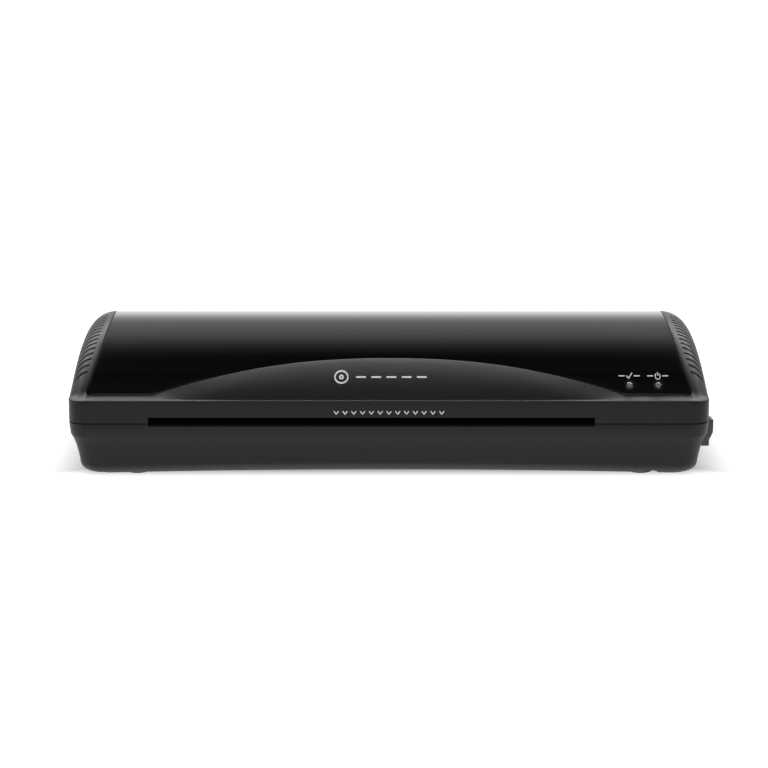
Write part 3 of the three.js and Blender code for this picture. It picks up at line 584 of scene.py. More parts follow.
def gloss_cover():
    points = []
    faces = []
    number = {}
    rim = [(0, COVER_THICKNESS), (0, 0.28 * MM), (-0.08 * MM, 0.07 * MM), (-0.28 * MM, 0)]
    inlay(points, faces, number, rim, 0, COVER_ROW_LIST, COVER_COLUMN_LIST)
    for r in COVER_ROW_LIST[1:-1]:
        for c in COVER_COLUMN_LIST[1:-1]:
            number[r, c] = len(points)
            points.append(on_top(*cover_node(r, c, 0), COVER_THICKNESS))
    for r in COVER_ROW_LIST[:-1]:
        for c in COVER_COLUMN_LIST[:-1]:
            faces.append((number[r, c], number[r + 1, c], number[r + 1, c + 1], number[r, c + 1]))
    return mesh_object("cover_panel", points, faces)


# ---- lower shell

KINK_DEPTH = 6.8 * MM             # the lower face leans in below this crease
TAPER_DEPTH = 24.3 * MM           # and turns under below this one
EDGE_LIFT = 1.8 * MM              # the lower edge is arched by this much in the middle
LIFT_START = 19 * MM

# start, control point and end of each curve below the crease: (how far inside the seam's outline, depth)
FRONT_TAPER = [Vector(p) for p in ((0.65 * MM, KINK_DEPTH), (4.6 * MM, 12.9 * MM), (6.7 * MM, TAPER_DEPTH))]
FRONT_UNDER = [FRONT_TAPER[2], Vector((8.1 * MM, 27.4 * MM)), Vector((12.5 * MM, FLOOR_DEPTH))]
SIDE_TAPER = [Vector(p) for p in ((0.6 * MM, KINK_DEPTH), (3.2 * MM, 12.5 * MM), (4.4 * MM, TAPER_DEPTH))]
SIDE_UNDER = [SIDE_TAPER[2], Vector((4.9 * MM, 29.2 * MM)), Vector((9.2 * MM, FLOOR_DEPTH))]


def inside_at(curve, depth):
    """How far a curve lies inside the seam's outline at a depth."""
    start, control, end = (point.y for point in curve)
    square, slope = start - 2 * control + end, control - start
    share = (sqrt(max(0, slope * slope + square * (depth - start))) - slope) / square
    return bezier(*curve, min(1, share)).x


def lower_ring(inside, side_inside, depth):
    """Front points from left to right, then rear points from right to left, at a depth below the seam."""
    half_width = HALF_WIDTH - side_inside
    half_depth = HALF_DEPTH - inside
    straight = half_width - CORNER_RADIUS
    right = [k / 24 * straight for k in range(1, 24)]
    right += [straight + CORNER_RADIUS * sin(radians(10 * k)) for k in range(10)]
    weight = min(1, max(0, (depth - LIFT_START) / (TAPER_DEPTH + 3 * MM - LIFT_START)))
    weight = weight * weight * (3 - 2 * weight)

    def point(x, side):
        setback = corner_setback(x, half_width)
        lift = EDGE_LIFT * weight * max(0, 1 - (x / CAP_START) ** 2)
        return Vector((CENTRE_X + x, side * (half_depth - setback), SEAM_Z - depth + lift))

    xs = [-x for x in reversed(right)] + [0] + right
    return [point(x, -1) for x in xs] + [point(x, 1) for x in reversed(xs)]


def strip_loft(name, rings):
    """A closed body through rings that are capped by strips from front to rear."""
    points, rows, faces = stacked(rings)
    for row in (rows[0], rows[-1]):
        faces += [(row[j], row[j + 1], row[-2 - j], row[-1 - j]) for j in range(len(row) // 2 - 1)]
    return mesh_object(name, points, faces)


def lower_shell():
    def level(depth, wall=0):
        front, side = (FRONT_TAPER, SIDE_TAPER) if depth <= TAPER_DEPTH else (FRONT_UNDER, SIDE_UNDER)
        return inside_at(front, depth) + wall, inside_at(side, depth) + wall, depth

    depths = [bezier(*FRONT_TAPER, k / 10).y for k in range(11)]
    depths += [bezier(*FRONT_UNDER, k / 8).y for k in range(1, 9)]
    outer = [(0.3 * MM, 0.3 * MM, 0), (0.09 * MM, 0.09 * MM, 0.09 * MM), (0, 0, 0.3 * MM),
             (0.3 * MM, 0.28 * MM, 3.5 * MM)]
    outer += [level(depth) for depth in depths]
    inner = [(WALL, WALL, 0)]
    inner += [level(depth, WALL) for depth in depths[0:11:2]]
    floor_inside = WALL + 3 * MM
    inner.append((FRONT_TAPER[2].x + floor_inside, SIDE_TAPER[2].x + floor_inside, FLOOR_DEPTH - WALL))
    rings = [lower_ring(*ring) for ring in outer[::-1] + inner]
    return strip_loft("case_bottom", rings)


# ---- places of the small parts

# turns a block's +Z to the right of the case, or to its rear
FACING_OUT = Matrix(((0, 0, 1, 0), (1, 0, 0, 0), (0, 1, 0, 0), (0, 0, 0, 1)))
FACING_BACK = Matrix(((-1, 0, 0, 0), (0, 0, 1, 0), (0, 1, 0, 0), (0, 0, 0, 1)))

ROCKER_AXIS = Vector(joint("rocker_tilt")["pos_m"])
LEVER_AXIS = Vector(joint("release_turn")["pos_m"])
SWITCH_PLACE = Matrix.Translation(ROCKER_AXIS) @ FACING_OUT
ROCKER_TILT = radians(12)
ROCKER_PLACE = Matrix.Translation(ROCKER_AXIS) @ Matrix.Rotation(ROCKER_TILT, 4, "Y") @ FACING_OUT
switch_low, switch_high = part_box("switch_housing")
SWITCH_HALF_WIDTH = (switch_high.y - switch_low.y) / 2
SWITCH_HALF_HEIGHT = (switch_high.z - switch_low.z) / 2
SWITCH_FACE = switch_high.x - ROCKER_AXIS.x
SWITCH_BACK = switch_low.x - ROCKER_AXIS.x
COLLAR_BACK = -4.7 * MM
BODY_STEP = 1 * MM                # the switch's body is this much smaller all round than its collar
PLAY = 0.3 * MM                   # between the case and what is set into it
ROCKER_RIDGE = 3.2 * MM
ROCKER_HALF_WIDTH = 4 * MM
ROCKER_HALF_HEIGHT = 6.75 * MM
ROCKER_END = ROCKER_RIDGE - ROCKER_HALF_HEIGHT * tan(ROCKER_TILT)

INDICATOR_ALONG = -FRONT_ARC * radians(51)     # arc length from the crest to the indicators

SCREWS = [name for name in frame["nodes"] if name.startswith("case_screw")]
FEET = [name for name in frame["nodes"] if name.startswith("foot_")]
inlet_low, inlet_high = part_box("power_inlet")
INLET_FACE = inlet_high.y
INLET_PLACE = Matrix.Translation((centre_of("power_inlet").x, 0, centre_of("power_inlet").z)) @ FACING_BACK
INLET_HALF_WIDTH = (inlet_high.x - inlet_low.x) / 2
INLET_HALF_HEIGHT = (inlet_high.z - inlet_low.z) / 2
INLET_LIP = 1.6 * MM
CORE_HALF_WIDTH = 10.5 * MM       # the inlet's body behind its face
CORE_HALF_HEIGHT = 5.5 * MM


def indicator_place(label):
    """A frame on the cover at an indicator, +Z square to the surface."""
    x = centre_of(label + "_lens").x - CENTRE_X
    slope = -INDICATOR_ALONG / FRONT_ARC
    return Matrix.Translation(on_top(x, INDICATOR_ALONG)) @ Matrix.Rotation(slope, 4, "X")


def standing(node):
    """A matrix on the underside of a node's box, the node's radius and its height."""
    low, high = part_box(node)
    middle = (low + high) / 2
    return Matrix.Translation((middle.x, middle.y, low.z)), (high.x - low.x) / 2, high.z - low.z


def rounded_rim(back, face):
    """Levels of a block whose front edge is rounded."""
    return [(back, 0), (face - 0.5 * MM, 0), (face - 0.15 * MM, 0.15 * MM), (face, 0.5 * MM)]


def switch_block(levels, grow=0, radius=1.2 * MM, name="block"):
    """A rounded block on the switch's axis, wider than its collar by grow."""
    return slab(name, SWITCH_HALF_WIDTH + grow, SWITCH_HALF_HEIGHT + grow, radius, levels, SWITCH_PLACE)


def inlet_block(levels, grow=0, radius=1.8 * MM, name="block"):
    """A rounded block on the mains inlet's axis, wider than its face by grow."""
    return slab(name, INLET_HALF_WIDTH + grow, INLET_HALF_HEIGHT + grow, radius, levels, INLET_PLACE)


# ---- openings in the case

VENT_COUNT = 16
VENT_PITCH = 3.25 * MM
VENT_WIDTH = 1.1 * MM
VENT_FIRST_SETBACK = 15 * MM
VENT_STRIP = 3.2 * MM             # between the cover and the slits
VENT_OUTER_X = 166.8 * MM         # the slits run out this far from the middle
PATH_X = centre_of("entry_guide_lower").x - CENTRE_X      # middle of the pouch's path
SLOT_HALF_WIDTH = 117.1 * MM      # half the feed slot's length
SLOT_TOP = 3.55 * MM
SLOT_BOTTOM = -0.8 * MM
SLOT_CHAMFER = 0.7 * MM
EXIT_TOP = 4.2 * MM
EXIT_EXTRA = 1.5 * MM             # the exit slot is this much longer at each end
SLOT_DEPTH = 13 * MM


def vent_tool(side, index):
    """Cuts one slit, from beside the cover to the end of the case."""
    setback = VENT_FIRST_SETBACK + VENT_PITCH * index
    radius = FRONT_ARC if setback < CREST_SETBACK else REAR_ARC
    along = radius * asin((setback - CREST_SETBACK) / radius)
    inner = cover_edge(min(along, 0)) + VENT_STRIP
    middle = Vector((CENTRE_X + side * (inner + VENT_OUTER_X) / 2, setback - HALF_DEPTH, 0))
    levels = [(SEAM_Z + CAP_BASE + 0.6 * MM, 0), (SEAM_Z + CREST_HEIGHT + 5 * MM, 0)]
    return slab("vent", (VENT_OUTER_X - inner) / 2, VENT_WIDTH / 2, VENT_WIDTH / 2, levels,
                Matrix.Translation(middle), 3)


def slot_tool(side, top, extra=0):
    """Cuts a slot at the front or the rear, with its lower rim chamfered on the outside."""
    x = CENTRE_X + PATH_X
    half = SLOT_HALF_WIDTH + extra
    inside, outside = HALF_DEPTH - SLOT_DEPTH, HALF_DEPTH + SLOT_CHAMFER
    outline = [(inside, top), (inside, SLOT_BOTTOM), (HALF_DEPTH - SLOT_CHAMFER, SLOT_BOTTOM),
               (outside, SLOT_BOTTOM - 2 * SLOT_CHAMFER), (outside, top)]
    return loft("tool", [[Vector((end, side * y, SEAM_Z + height)) for y, height in outline]
                         for end in (x - half, x + half)])


def slot_tools():
    """The feed slot and the exit slot."""
    return [slot_tool(-1, SLOT_TOP), slot_tool(1, EXIT_TOP, EXIT_EXTRA)]


LEVER_HALF_SLOT = 3 * MM
LEVER_SLOT_Y = (31.8 * MM, 60.5 * MM)


def lever_slot():
    """The opening that the release lever swings in."""
    middle = Matrix.Translation((LEVER_AXIS.x, sum(LEVER_SLOT_Y) / 2, 0))
    levels = [(SEAM_Z + 16 * MM, 0), (SEAM_Z + 50 * MM, 0)]
    return slab("slot", LEVER_HALF_SLOT, (LEVER_SLOT_Y[1] - LEVER_SLOT_Y[0]) / 2, 2 * MM, levels, middle)


def indicator_holes(radius, depth):
    return [rod(radius, -depth, 3 * MM, indicator_place(label)) for label in ("ready", "power")]


def case_top():
    """The upper shell with its slits, slots and indicator holes."""
    top = upper_shell()
    vents = [vent_tool(side, i) for side in (-1, 1) for i in range(VENT_COUNT)]
    cut(top, vents + indicator_holes(2.3 * MM, 14 * MM) + slot_tools() + [lever_slot()])
    return top


def cover_panel():
    """The gloss cover with a hole for each indicator's collar."""
    cover = gloss_cover()
    cut(cover, indicator_holes(3.2 * MM, 4 * MM))
    return cover


def screw_hole(node):
    """Cuts the well that a case screw's head sits in."""
    middle = centre_of(node)
    profile = [(0, 0), (3.4 * MM, 0), (3.2 * MM, 9.7 * MM), (0, 9.7 * MM)]
    return lathe("hole", profile, Matrix.Translation((middle.x, middle.y, 0)))


def case_bottom():
    """The lower shell with the seats of the switch and the inlet. Tools that overlap take turns."""
    bottom = lower_shell()
    seat = COLLAR_BACK - PLAY
    pad = [(INLET_FACE - 9 * MM, 0), (INLET_FACE - 1.2 * MM, 0), (INLET_FACE - 0.9 * MM, 0.3 * MM)]
    unite(bottom, [switch_block([(COLLAR_BACK - 3.5 * MM, 0), (seat, 0)], 1.2 * MM),
                   inlet_block(pad, 1.4 * MM, 2.6 * MM)])
    recess = [(INLET_FACE - INLET_LIP - 0.2 * MM, 0), (INLET_FACE + 4 * MM, 0)]
    cut(bottom, slot_tools() + [inlet_block(recess, PLAY, 2 * MM),
                                switch_block([(seat, 0), (4 * MM, 0)], PLAY)])
    core_hole = slab("hole", CORE_HALF_WIDTH + 0.5 * MM, CORE_HALF_HEIGHT + 0.5 * MM, 1 * MM,
                     [(INLET_FACE - 14 * MM, 0), (INLET_FACE - 1 * MM, 0)], INLET_PLACE)
    body_hole = switch_block([(-12 * MM, 0), (COLLAR_BACK, 0)], PLAY - BODY_STEP, 0.6 * MM)
    cut(bottom, [body_hole, core_hole] + [screw_hole(name) for name in SCREWS])
    return bottom


# ---- small parts


def switch_frame():
    """The switch's collar with a rounded rim, its body behind it and the window for the rocker."""
    collar = switch_block(rounded_rim(COLLAR_BACK, SWITCH_FACE), name="switch_frame")
    unite(collar, [switch_block([(SWITCH_BACK, 0), (COLLAR_BACK + 1 * MM, 0)], -BODY_STEP, 0.6 * MM)])
    cut(collar, [slab("window", ROCKER_HALF_WIDTH + 0.35 * MM, SWITCH_HALF_HEIGHT - 0.7 * MM, 0.4 * MM,
                      [(-6.5 * MM, 0), (SWITCH_FACE + 1 * MM, 0)], SWITCH_PLACE)])
    return collar


def rocker():
    """The rocker: two flat faces that meet at a ridge, tilted so that the upper one stands upright."""
    side_height, back, back_half = 0.8 * MM, -4.5 * MM, 4 * MM
    outline = [Vector((-back_half, back)), Vector((-ROCKER_HALF_HEIGHT, ROCKER_END - side_height)),
               Vector((-ROCKER_HALF_HEIGHT, ROCKER_END))]
    round_half = 0.8 * MM         # the ridge is rounded over this distance to each side
    height = ROCKER_RIDGE - round_half * tan(ROCKER_TILT)
    ridge_round = [Vector((-round_half, height)), Vector((0, ROCKER_RIDGE)), Vector((round_half, height))]
    outline += [bezier(*ridge_round, k / 4) for k in range(5)]
    outline += [Vector((-p.x, p.y)) for p in outline[2::-1]]
    rings = [[ROCKER_PLACE @ Vector((end, p.x, p.y)) for p in outline]
             for end in (-ROCKER_HALF_WIDTH, ROCKER_HALF_WIDTH)]
    return bevelled(loft("power_rocker_cap", rings, 20), 0.4 * MM)


def rocker_marks():
    """A bar on the rocker's upper face and a ring on its lower one."""
    distance = 3.6 * MM
    low, high = -0.02 * MM, 0.05 * MM
    inner, outer = 1.1 * MM, 1.45 * MM

    def face(side):
        height = ROCKER_RIDGE - distance * tan(ROCKER_TILT)
        return (ROCKER_PLACE @ Matrix.Translation((0, side * distance, height))
                @ Matrix.Rotation(-side * ROCKER_TILT, 4, "X"))

    ring = lathe("ring", [(inner, low), (outer, low), (outer, high), (inner, high)], face(-1))
    bar = slab("bar", 0.2 * MM, 1.4 * MM, 0.18 * MM, [(low, 0), (high, 0)], face(1))
    marks = joined("rocker_marks", [ring, bar])
    shade(marks)
    return marks


def lens(label):
    radius, base, rise = 1.8 * MM, -0.5 * MM, 1.9 * MM
    profile = [(0, -7 * MM), (radius, -7 * MM), (radius, base)]
    profile += [(radius * cos(radians(a)), base + rise * sin(radians(a)))
                for a in range(10, 90, 10)]
    profile.append((0, base + rise))
    return lathe(label + "_dome", profile, indicator_place(label), 36)


def lens_ring(label):
    """The collar round an indicator, dished towards the dome."""
    outer, inner, rim = 2.95 * MM, 2.05 * MM, 0.25 * MM
    profile = [(inner, -COVER_THICKNESS), (outer, -COVER_THICKNESS), (outer, -0.1 * MM)]
    profile += [(outer - rim + rim * cos(radians(a)), 0.15 * MM + rim * sin(radians(a)))
                for a in range(0, 91, 30)]
    profile += [(2.5 * MM, 0.1 * MM), (2.2 * MM, -0.35 * MM), (inner, -0.7 * MM)]
    return lathe(label + "_collar", profile, indicator_place(label), 48, 50)


def foot_pad(name):
    """A rubber foot with a dished middle and a rounded edge."""
    where, radius, height = standing(name)
    profile = [(0, 0.5 * MM), (radius * 0.45, 0.5 * MM), (radius * 0.5, 0), (radius - 0.6 * MM, 0),
               (radius - 0.15 * MM, 0.2 * MM), (radius, 0.7 * MM), (radius, height - 0.1 * MM), (0, height)]
    return lathe(name.replace("foot", "rubber_foot"), profile, where)


def screw(name):
    """A thread-cutting screw with a cross recess, its head down."""
    where, head, height = standing(name)
    shank = 1.5 * MM
    profile = [(0, 0.1 * MM), (head * 0.6, 0.1 * MM), (head - 0.3 * MM, 0.4 * MM), (head, 0.9 * MM),
               (head, 2.1 * MM), (shank, 2.2 * MM)]
    pitch = 1.2 * MM
    turns = int((height - 5 * MM) / pitch)
    for k in range(turns):
        base = 3 * MM + k * pitch
        profile += [(shank - 0.25 * MM, base), (shank, base + pitch / 2)]
    profile += [(0.3 * MM, height - 0.6 * MM), (0, height)]
    body = lathe("fixing_" + name, profile, where, 28, 50)
    recess = where @ Matrix.Translation((0, 0, -1 * MM))
    long, short = 1.7 * MM, 0.35 * MM
    bars = [slab("bar", *halves, 0.1 * MM, [(0, 0), (2.2 * MM, 0.2 * MM)], recess)
            for halves in ((long, short), (short, long))]
    unite(bars[0], bars[1:])
    cut(body, bars[:1], 50)
    return body


SOCKET_DEPTH = 12 * MM
LOBE_OFFSET = 3.3 * MM
PIN_OFFSET = 4.3 * MM


def inlet():
    """The figure-of-eight mains socket."""
    body = inlet_block(rounded_rim(INLET_FACE - INLET_LIP, INLET_FACE), name="mains_socket")
    unite(body, [slab("core", CORE_HALF_WIDTH, CORE_HALF_HEIGHT, 1 * MM,
                      [(inlet_low.y, 0), (INLET_FACE - 1 * MM, 0)], INLET_PLACE)])
    deep, clear = INLET_FACE - SOCKET_DEPTH, INLET_FACE + 2 * MM
    lobes = [rod(3.7 * MM, deep, clear, INLET_PLACE @ Matrix.Translation((side * LOBE_OFFSET, 0, 0)))
             for side in (-1, 1)]
    waist = slab("waist", LOBE_OFFSET, 2.9 * MM, 0.1 * MM, [(deep, 0), (clear, 0)], INLET_PLACE)
    unite(waist, lobes)
    cut(body, [waist])
    return body


def inlet_pins():
    """The two round pins inside the mains socket."""
    profile = [(0, -2 * MM), (1.2 * MM, -2 * MM), (1.2 * MM, 9 * MM), (0.9 * MM, 9.6 * MM), (0, 9.9 * MM)]
    places = [INLET_PLACE @ Matrix.Translation((side * PIN_OFFSET, 0, INLET_FACE - SOCKET_DEPTH))
              for side in (-1, 1)]
    pins = joined("mains_socket_pins", [lathe("pin", profile, where, 24) for where in places])
    shade(pins)
    return pins


LEVER_ANGLE = radians(12)
TAB_START = 47 * MM
TAB_END = 56 * MM


def release_handle():
    """The jam-release lever: a hub on the shaft, an arm and a ribbed finger tab outside the case."""
    turn = Matrix.Translation(LEVER_AXIS) @ Matrix.Rotation(LEVER_ANGLE, 4, "X")
    bore, rim, half = 2.8 * MM, 5.2 * MM, 2 * MM
    hub = lathe("release_handle", [(bore, -half), (rim, -half), (rim, half), (bore, half)],
                turn @ Matrix.Rotation(pi / 2, 4, "Y"))
    outwards = turn @ Matrix.Rotation(-pi / 2, 4, "X")
    arm = slab("arm", half, 2.4 * MM, 0.8 * MM, [(4.5 * MM, 0), (TAB_START + 0.5 * MM, 0)], outwards)
    levels = [(TAB_START, 0.5 * MM), (TAB_START + 0.4 * MM, 0.1 * MM), (TAB_START + 0.8 * MM, 0),
              (TAB_END - 0.6 * MM, 0), (TAB_END - 0.2 * MM, 0.2 * MM), (TAB_END, 0.6 * MM)]
    unite(hub, [arm, slab("tab", 5 * MM, 1.8 * MM, 1 * MM, levels, outwards)])
    places = [turn @ Matrix.Translation((0, TAB_START + (2.3 + 1.5 * k) * MM, 0)) for k in range(4)]
    cut(hub, [slab("rib", 4 * MM, 0.3 * MM, 0.25 * MM, [(1.5 * MM, 0), (3 * MM, 0)], where)
              for where in places])
    return hub


SPRINGS = [name for name in frame["nodes"] if name.startswith("pressure_spring")]
SPRING_WIRE = 0.58 * MM           # radius of the wire
SPRING_TURNS = 4.5


def coil(name):
    """A pressure spring, wound upwards round its axis."""
    low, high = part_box(name)
    middle = (low + high) / 2
    radius = (high.x - low.x) / 2 - SPRING_WIRE
    steps = 100
    rings = []
    for k in range(steps + 1):
        angle = 2 * pi * SPRING_TURNS * k / steps
        out = Vector((cos(angle), sin(angle), 0))
        height = lerp(low.z + SPRING_WIRE, high.z - SPRING_WIRE, k / steps)
        on_wire = Vector((middle.x, middle.y, height)) + out * radius
        rings.append([on_wire + SPRING_WIRE * (out * cos(a) + Vector((0, 0, sin(a))))
                      for a in (radians(45 * j) for j in range(8))])
    return loft(name.replace("pressure_spring", "coil"), rings, 60)


def add_springs():
    """Puts a wound coil in each spring's place, on the spring's body, with a mesh of its own."""
    for name in SPRINGS:
        piece = coil(name)
        replace_node(name, piece)
        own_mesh(piece)


# ---- printed marks

INK = 0.035 * MM                  # the print stands this far off the surface


def printed(name, strokes, surface, width):
    """Printed lines: each stroke is a list of (across, up) points, laid on a surface(across, up, lift)."""
    points = []
    faces = []
    for stroke in strokes:
        for start, end in zip(stroke, stroke[1:]):
            start, end = Vector(start), Vector(end)
            along = (end - start).normalized()
            side = Vector((-along.y, along.x)) * width / 2
            start, end = start - along * width * 0.35, end + along * width * 0.35
            corners = [start + side, start - side, end - side, end + side]
            base = len(points)
            points += [surface(p.x, p.y, lift) for lift in (-INK / 2, INK) for p in corners]
            faces += [(base + 3, base + 2, base + 1, base), (base + 4, base + 5, base + 6, base + 7)]
            faces += [(base + k, base + k_next, base + 4 + k_next, base + 4 + k)
                      for k, k_next in ((0, 1), (1, 2), (2, 3), (3, 0))]
    return plain_object(name, points, faces)


def on_cover(across, up, lift):
    """A point of the cover's surface at a height above the seam."""
    return on_top(across, front_along(up), -lift)


def on_band(across, up, lift):
    """A point of the upright front band at a height above the seam."""
    corner, foot = ridge(across)
    share = (up - SEAM_GAP) / (BAND_HEIGHT - SEAM_GAP)
    return lerp(foot, corner, share) + Vector((0, -lift, 0))


def arc_stroke(x, y, radius, start, end, steps=20):
    """A stroke round (x, y), between two angles in degrees."""
    angles = [radians(lerp(start, end, k / steps)) for k in range(steps + 1)]
    return [(x + radius * cos(a), y + radius * sin(a)) for a in angles]


MARK_HEIGHT = 23.1 * MM           # middle of the pictograms above the indicators


def indicator_marks():
    """A tick for ready and a ring-and-bar for power, each between two short dashes."""
    ready = centre_of("ready_lens").x - CENTRE_X
    power = centre_of("power_lens").x - CENTRE_X
    y = MARK_HEIGHT
    strokes = [[(ready - 1.4 * MM, y), (ready - 0.4 * MM, y - 1.1 * MM), (ready + 1.5 * MM, y + 1.2 * MM)]]
    strokes.append(arc_stroke(power, y - 0.2 * MM, 1.3 * MM, 130, 410))
    strokes.append([(power, y + 0.2 * MM), (power, y + 1.4 * MM)])
    for x in (ready, power):
        for side in (-1, 1):
            strokes.append([(x + side * 2.6 * MM, y), (x + side * 5.4 * MM, y)])
    return printed("indicator_marks", strokes, on_cover, 0.45 * MM)


def on_apron(across, up, lift):
    """A point of the apron under the arch at a height above the seam."""
    border = on_top(across, front_along(arch_height(across)) - LIP)
    low, high = 0, 1
    for _ in range(24):
        middle = (low + high) / 2
        if apron_point(across, border, middle).z < SEAM_Z + up:
            low = middle
        else:
            high = middle
    step = apron_point(across, border, min(1, high + 0.01)) - apron_point(across, border, high - 0.01)
    return apron_point(across, border, high) + Vector((0, -step.z, step.y)).normalized() * lift


EMBLEM_HEIGHT = 23 * MM
EMBLEM_SQUASH = 0.75              # a height of 0.75 is a length of about 1 on the leaning apron


def emblem():
    """A plain ornament in the middle of the arch: a ring with a dot, and a row of short dashes."""
    left, y = -25 * MM, EMBLEM_HEIGHT
    strokes = [arc_stroke(left, y, 3.4 * MM, 0, 360, 32), arc_stroke(left, y, 0.9 * MM, 0, 360, 16)]
    strokes = [[(px, y + (py - y) * EMBLEM_SQUASH) for px, py in stroke] for stroke in strokes]
    for k in range(5):
        x = left + (8 + 8 * k) * MM
        strokes.append([(x, y), (x + 4.6 * MM, y)])
    return printed("arch_ornament", strokes, on_apron, 0.7 * MM)


FEED_MARK_HEIGHT = 6.1 * MM


def feed_marks():
    """A row of arrowheads that point down at the feed slot."""
    low, high = FEED_MARK_HEIGHT - 0.7 * MM, FEED_MARK_HEIGHT + 0.8 * MM
    strokes = []
    for k in range(-6, 7):
        x = k * 4.6 * MM
        strokes.append([(x - 1.1 * MM, high), (x, low), (x + 1.1 * MM, high)])
    return printed("feed_marks", strokes, on_band, 0.5 * MM)


# ---- materials


class Nodes:
    """A node tree. A value given to an input is either a socket to wire it to or a plain value."""

    def __init__(self, tree):
        self.tree = tree

    def feed(self, node, inputs):
        for name, value in inputs.items():
            if isinstance(value, bpy.types.NodeSocket):
                self.tree.links.new(value, node.inputs[name])
            else:
                node.inputs[name].default_value = value

    def add(self, kind, inputs, **settings):
        node = self.tree.nodes.new("ShaderNode" + kind)
        for name, value in settings.items():
            setattr(node, name, value)
        self.feed(node, inputs)
        return node

    def ranged(self, source, low, high, start=0.3, end=0.7):
        """Maps start..end of a socket to low..high."""
        ends = {"From Min": start, "From Max": end, "To Min": low, "To Max": high}
        return self.add("MapRange", {"Value": source, **ends}).outputs["Result"]


class Look(Nodes):
    """A procedural material: noise drives its colour, roughness and bump, and edges wear lighter."""

    def __init__(self, name, color, roughness, metallic=0.0):
        self.material = bpy.data.materials.new(name)
        self.material.use_nodes = True
        self.material.diffuse_color = (*color, 1)
        super().__init__(self.material.node_tree)
        self.where = self.add("TexCoord", {}).outputs["Object"]
        self.color = color
        self.roughness = roughness
        self.shader({"Metallic": metallic})

    def shader(self, inputs):
        self.feed(self.tree.nodes["Principled BSDF"], inputs)
        return self

    def noise(self, scale, detail=3, stretch=None):
        where = self.where
        if stretch:
            where = self.add("Mapping", {"Vector": where, "Scale": stretch}).outputs["Vector"]
        return self.add("TexNoise", {"Vector": where, "Scale": scale, "Detail": detail}).outputs["Fac"]

    def vary(self, scale, amount, wear=0.0, wear_color=(0.3, 0.3, 0.3)):
        """The colour drifts by the amount, and sharp edges rub towards the wear colour."""
        darker = (*(c * (1 - amount) for c in self.color), 1)
        lighter = (*(min(1, c * (1 + amount)) for c in self.color), 1)
        share = self.ranged(self.noise(scale), 0, 1)
        result = self.mixed(darker, lighter, share)
        if wear:
            edges = self.add("NewGeometry", {}).outputs["Pointiness"]
            result = self.mixed(result, (*wear_color, 1), self.ranged(edges, 0, wear, 0.53, 0.62))
        return self.shader({"Base Color": result})

    def mixed(self, a, b, share):
        mix = self.add("Mix", {}, data_type="RGBA")
        self.feed(mix, {"A": a, "B": b, "Factor": share})
        return mix.outputs["Result"]

    def polish(self, scale, spread, stretch=None):
        """Roughness drifts by the spread about its middle value."""
        low, high = self.roughness - spread, self.roughness + spread
        return self.shader({"Roughness": self.ranged(self.noise(scale, 4, stretch), max(0.02, low), high)})

    def bump(self, scale, depth, stretch=None, detail=2):
        height = self.noise(scale, detail, stretch)
        node = self.add("Bump", {"Height": height, "Strength": 1, "Distance": depth})
        return self.shader({"Normal": node.outputs["Normal"]})


def satin_plastic():
    look = Look("satin_case", (0.006, 0.006, 0.0075), 0.44)
    look.vary(35, 0.08, 0.3, (0.04, 0.04, 0.043)).polish(300, 0.04).bump(2600, 0.015 * MM)
    return look.shader({"Specular IOR Level": 0.22}).material


def gloss_plastic():
    look = Look("gloss_cover", (0.0022, 0.0022, 0.0024), 0.045)
    look.vary(20, 0.1).polish(90, 0.012).bump(60, 0.002 * MM)
    return look.shader({"Specular IOR Level": 0.5}).material


def clear_plastic():
    look = Look("clear_lens", (0.5, 0.52, 0.55), 0.08)
    look.vary(400, 0.05).polish(600, 0.02).bump(900, 0.002 * MM)
    return look.shader({"Transmission Weight": 0.85, "IOR": 1.49}).material


def rubber():
    look = Look("rubber_feet", (0.016, 0.016, 0.017), 0.8)
    return look.vary(250, 0.15, 0.2, (0.06, 0.06, 0.06)).polish(500, 0.08).bump(1800, 0.03 * MM).material


def silicone():
    look = Look("silicone", (0.36, 0.05, 0.02), 0.55)
    return look.vary(60, 0.1).polish(200, 0.06, (1, 8, 8)).bump(400, 0.01 * MM, (1, 6, 6)).material


def steel():
    look = Look("plated_steel", (0.5, 0.51, 0.53), 0.34, 1)
    look.vary(120, 0.12, 0.3, (0.75, 0.76, 0.78)).polish(260, 0.08, (1, 12, 12)).bump(500, 0.006 * MM)
    return look.material


def aluminium():
    look = Look("aluminium", (0.62, 0.63, 0.65), 0.38, 1)
    return look.vary(80, 0.06).polish(700, 0.08, (0.05, 1, 1)).bump(900, 0.008 * MM, (0.04, 1, 1)).material


def mica():
    look = Look("mica", (0.48, 0.35, 0.15), 0.55)
    return look.vary(300, 0.25).polish(350, 0.1).bump(800, 0.02 * MM).material


def nylon():
    look = Look("nylon", (0.8, 0.77, 0.68), 0.45)
    return look.vary(90, 0.04, 0.2, (0.9, 0.88, 0.82)).polish(200, 0.06).bump(1500, 0.01 * MM).material


def circuit_board():
    look = Look("circuit_board", (0.02, 0.12, 0.05), 0.35)
    return look.vary(450, 0.35).polish(300, 0.08).bump(700, 0.015 * MM).material


def red_insulation():
    look = Look("red_insulation", (0.27, 0.02, 0.02), 0.5)
    return look.vary(150, 0.1).polish(250, 0.06).bump(900, 0.01 * MM).material


def white_ink():
    look = Look("white_ink", (0.62, 0.62, 0.62), 0.5)
    return look.vary(900, 0.08).polish(900, 0.05).bump(2500, 0.004 * MM).material


LOOKS = {
    "satin_case": satin_plastic(),
    "gloss_cover": gloss_plastic(),
    "clear_lens": clear_plastic(),
    "rubber_feet": rubber(),
    "silicone": silicone(),
    "plated_steel": steel(),
    "aluminium": aluminium(),
    "mica": mica(),
    "nylon": nylon(),
    "circuit_board": circuit_board(),
    "red_insulation": red_insulation(),
}
INK_LOOK = white_ink()

# ---- build


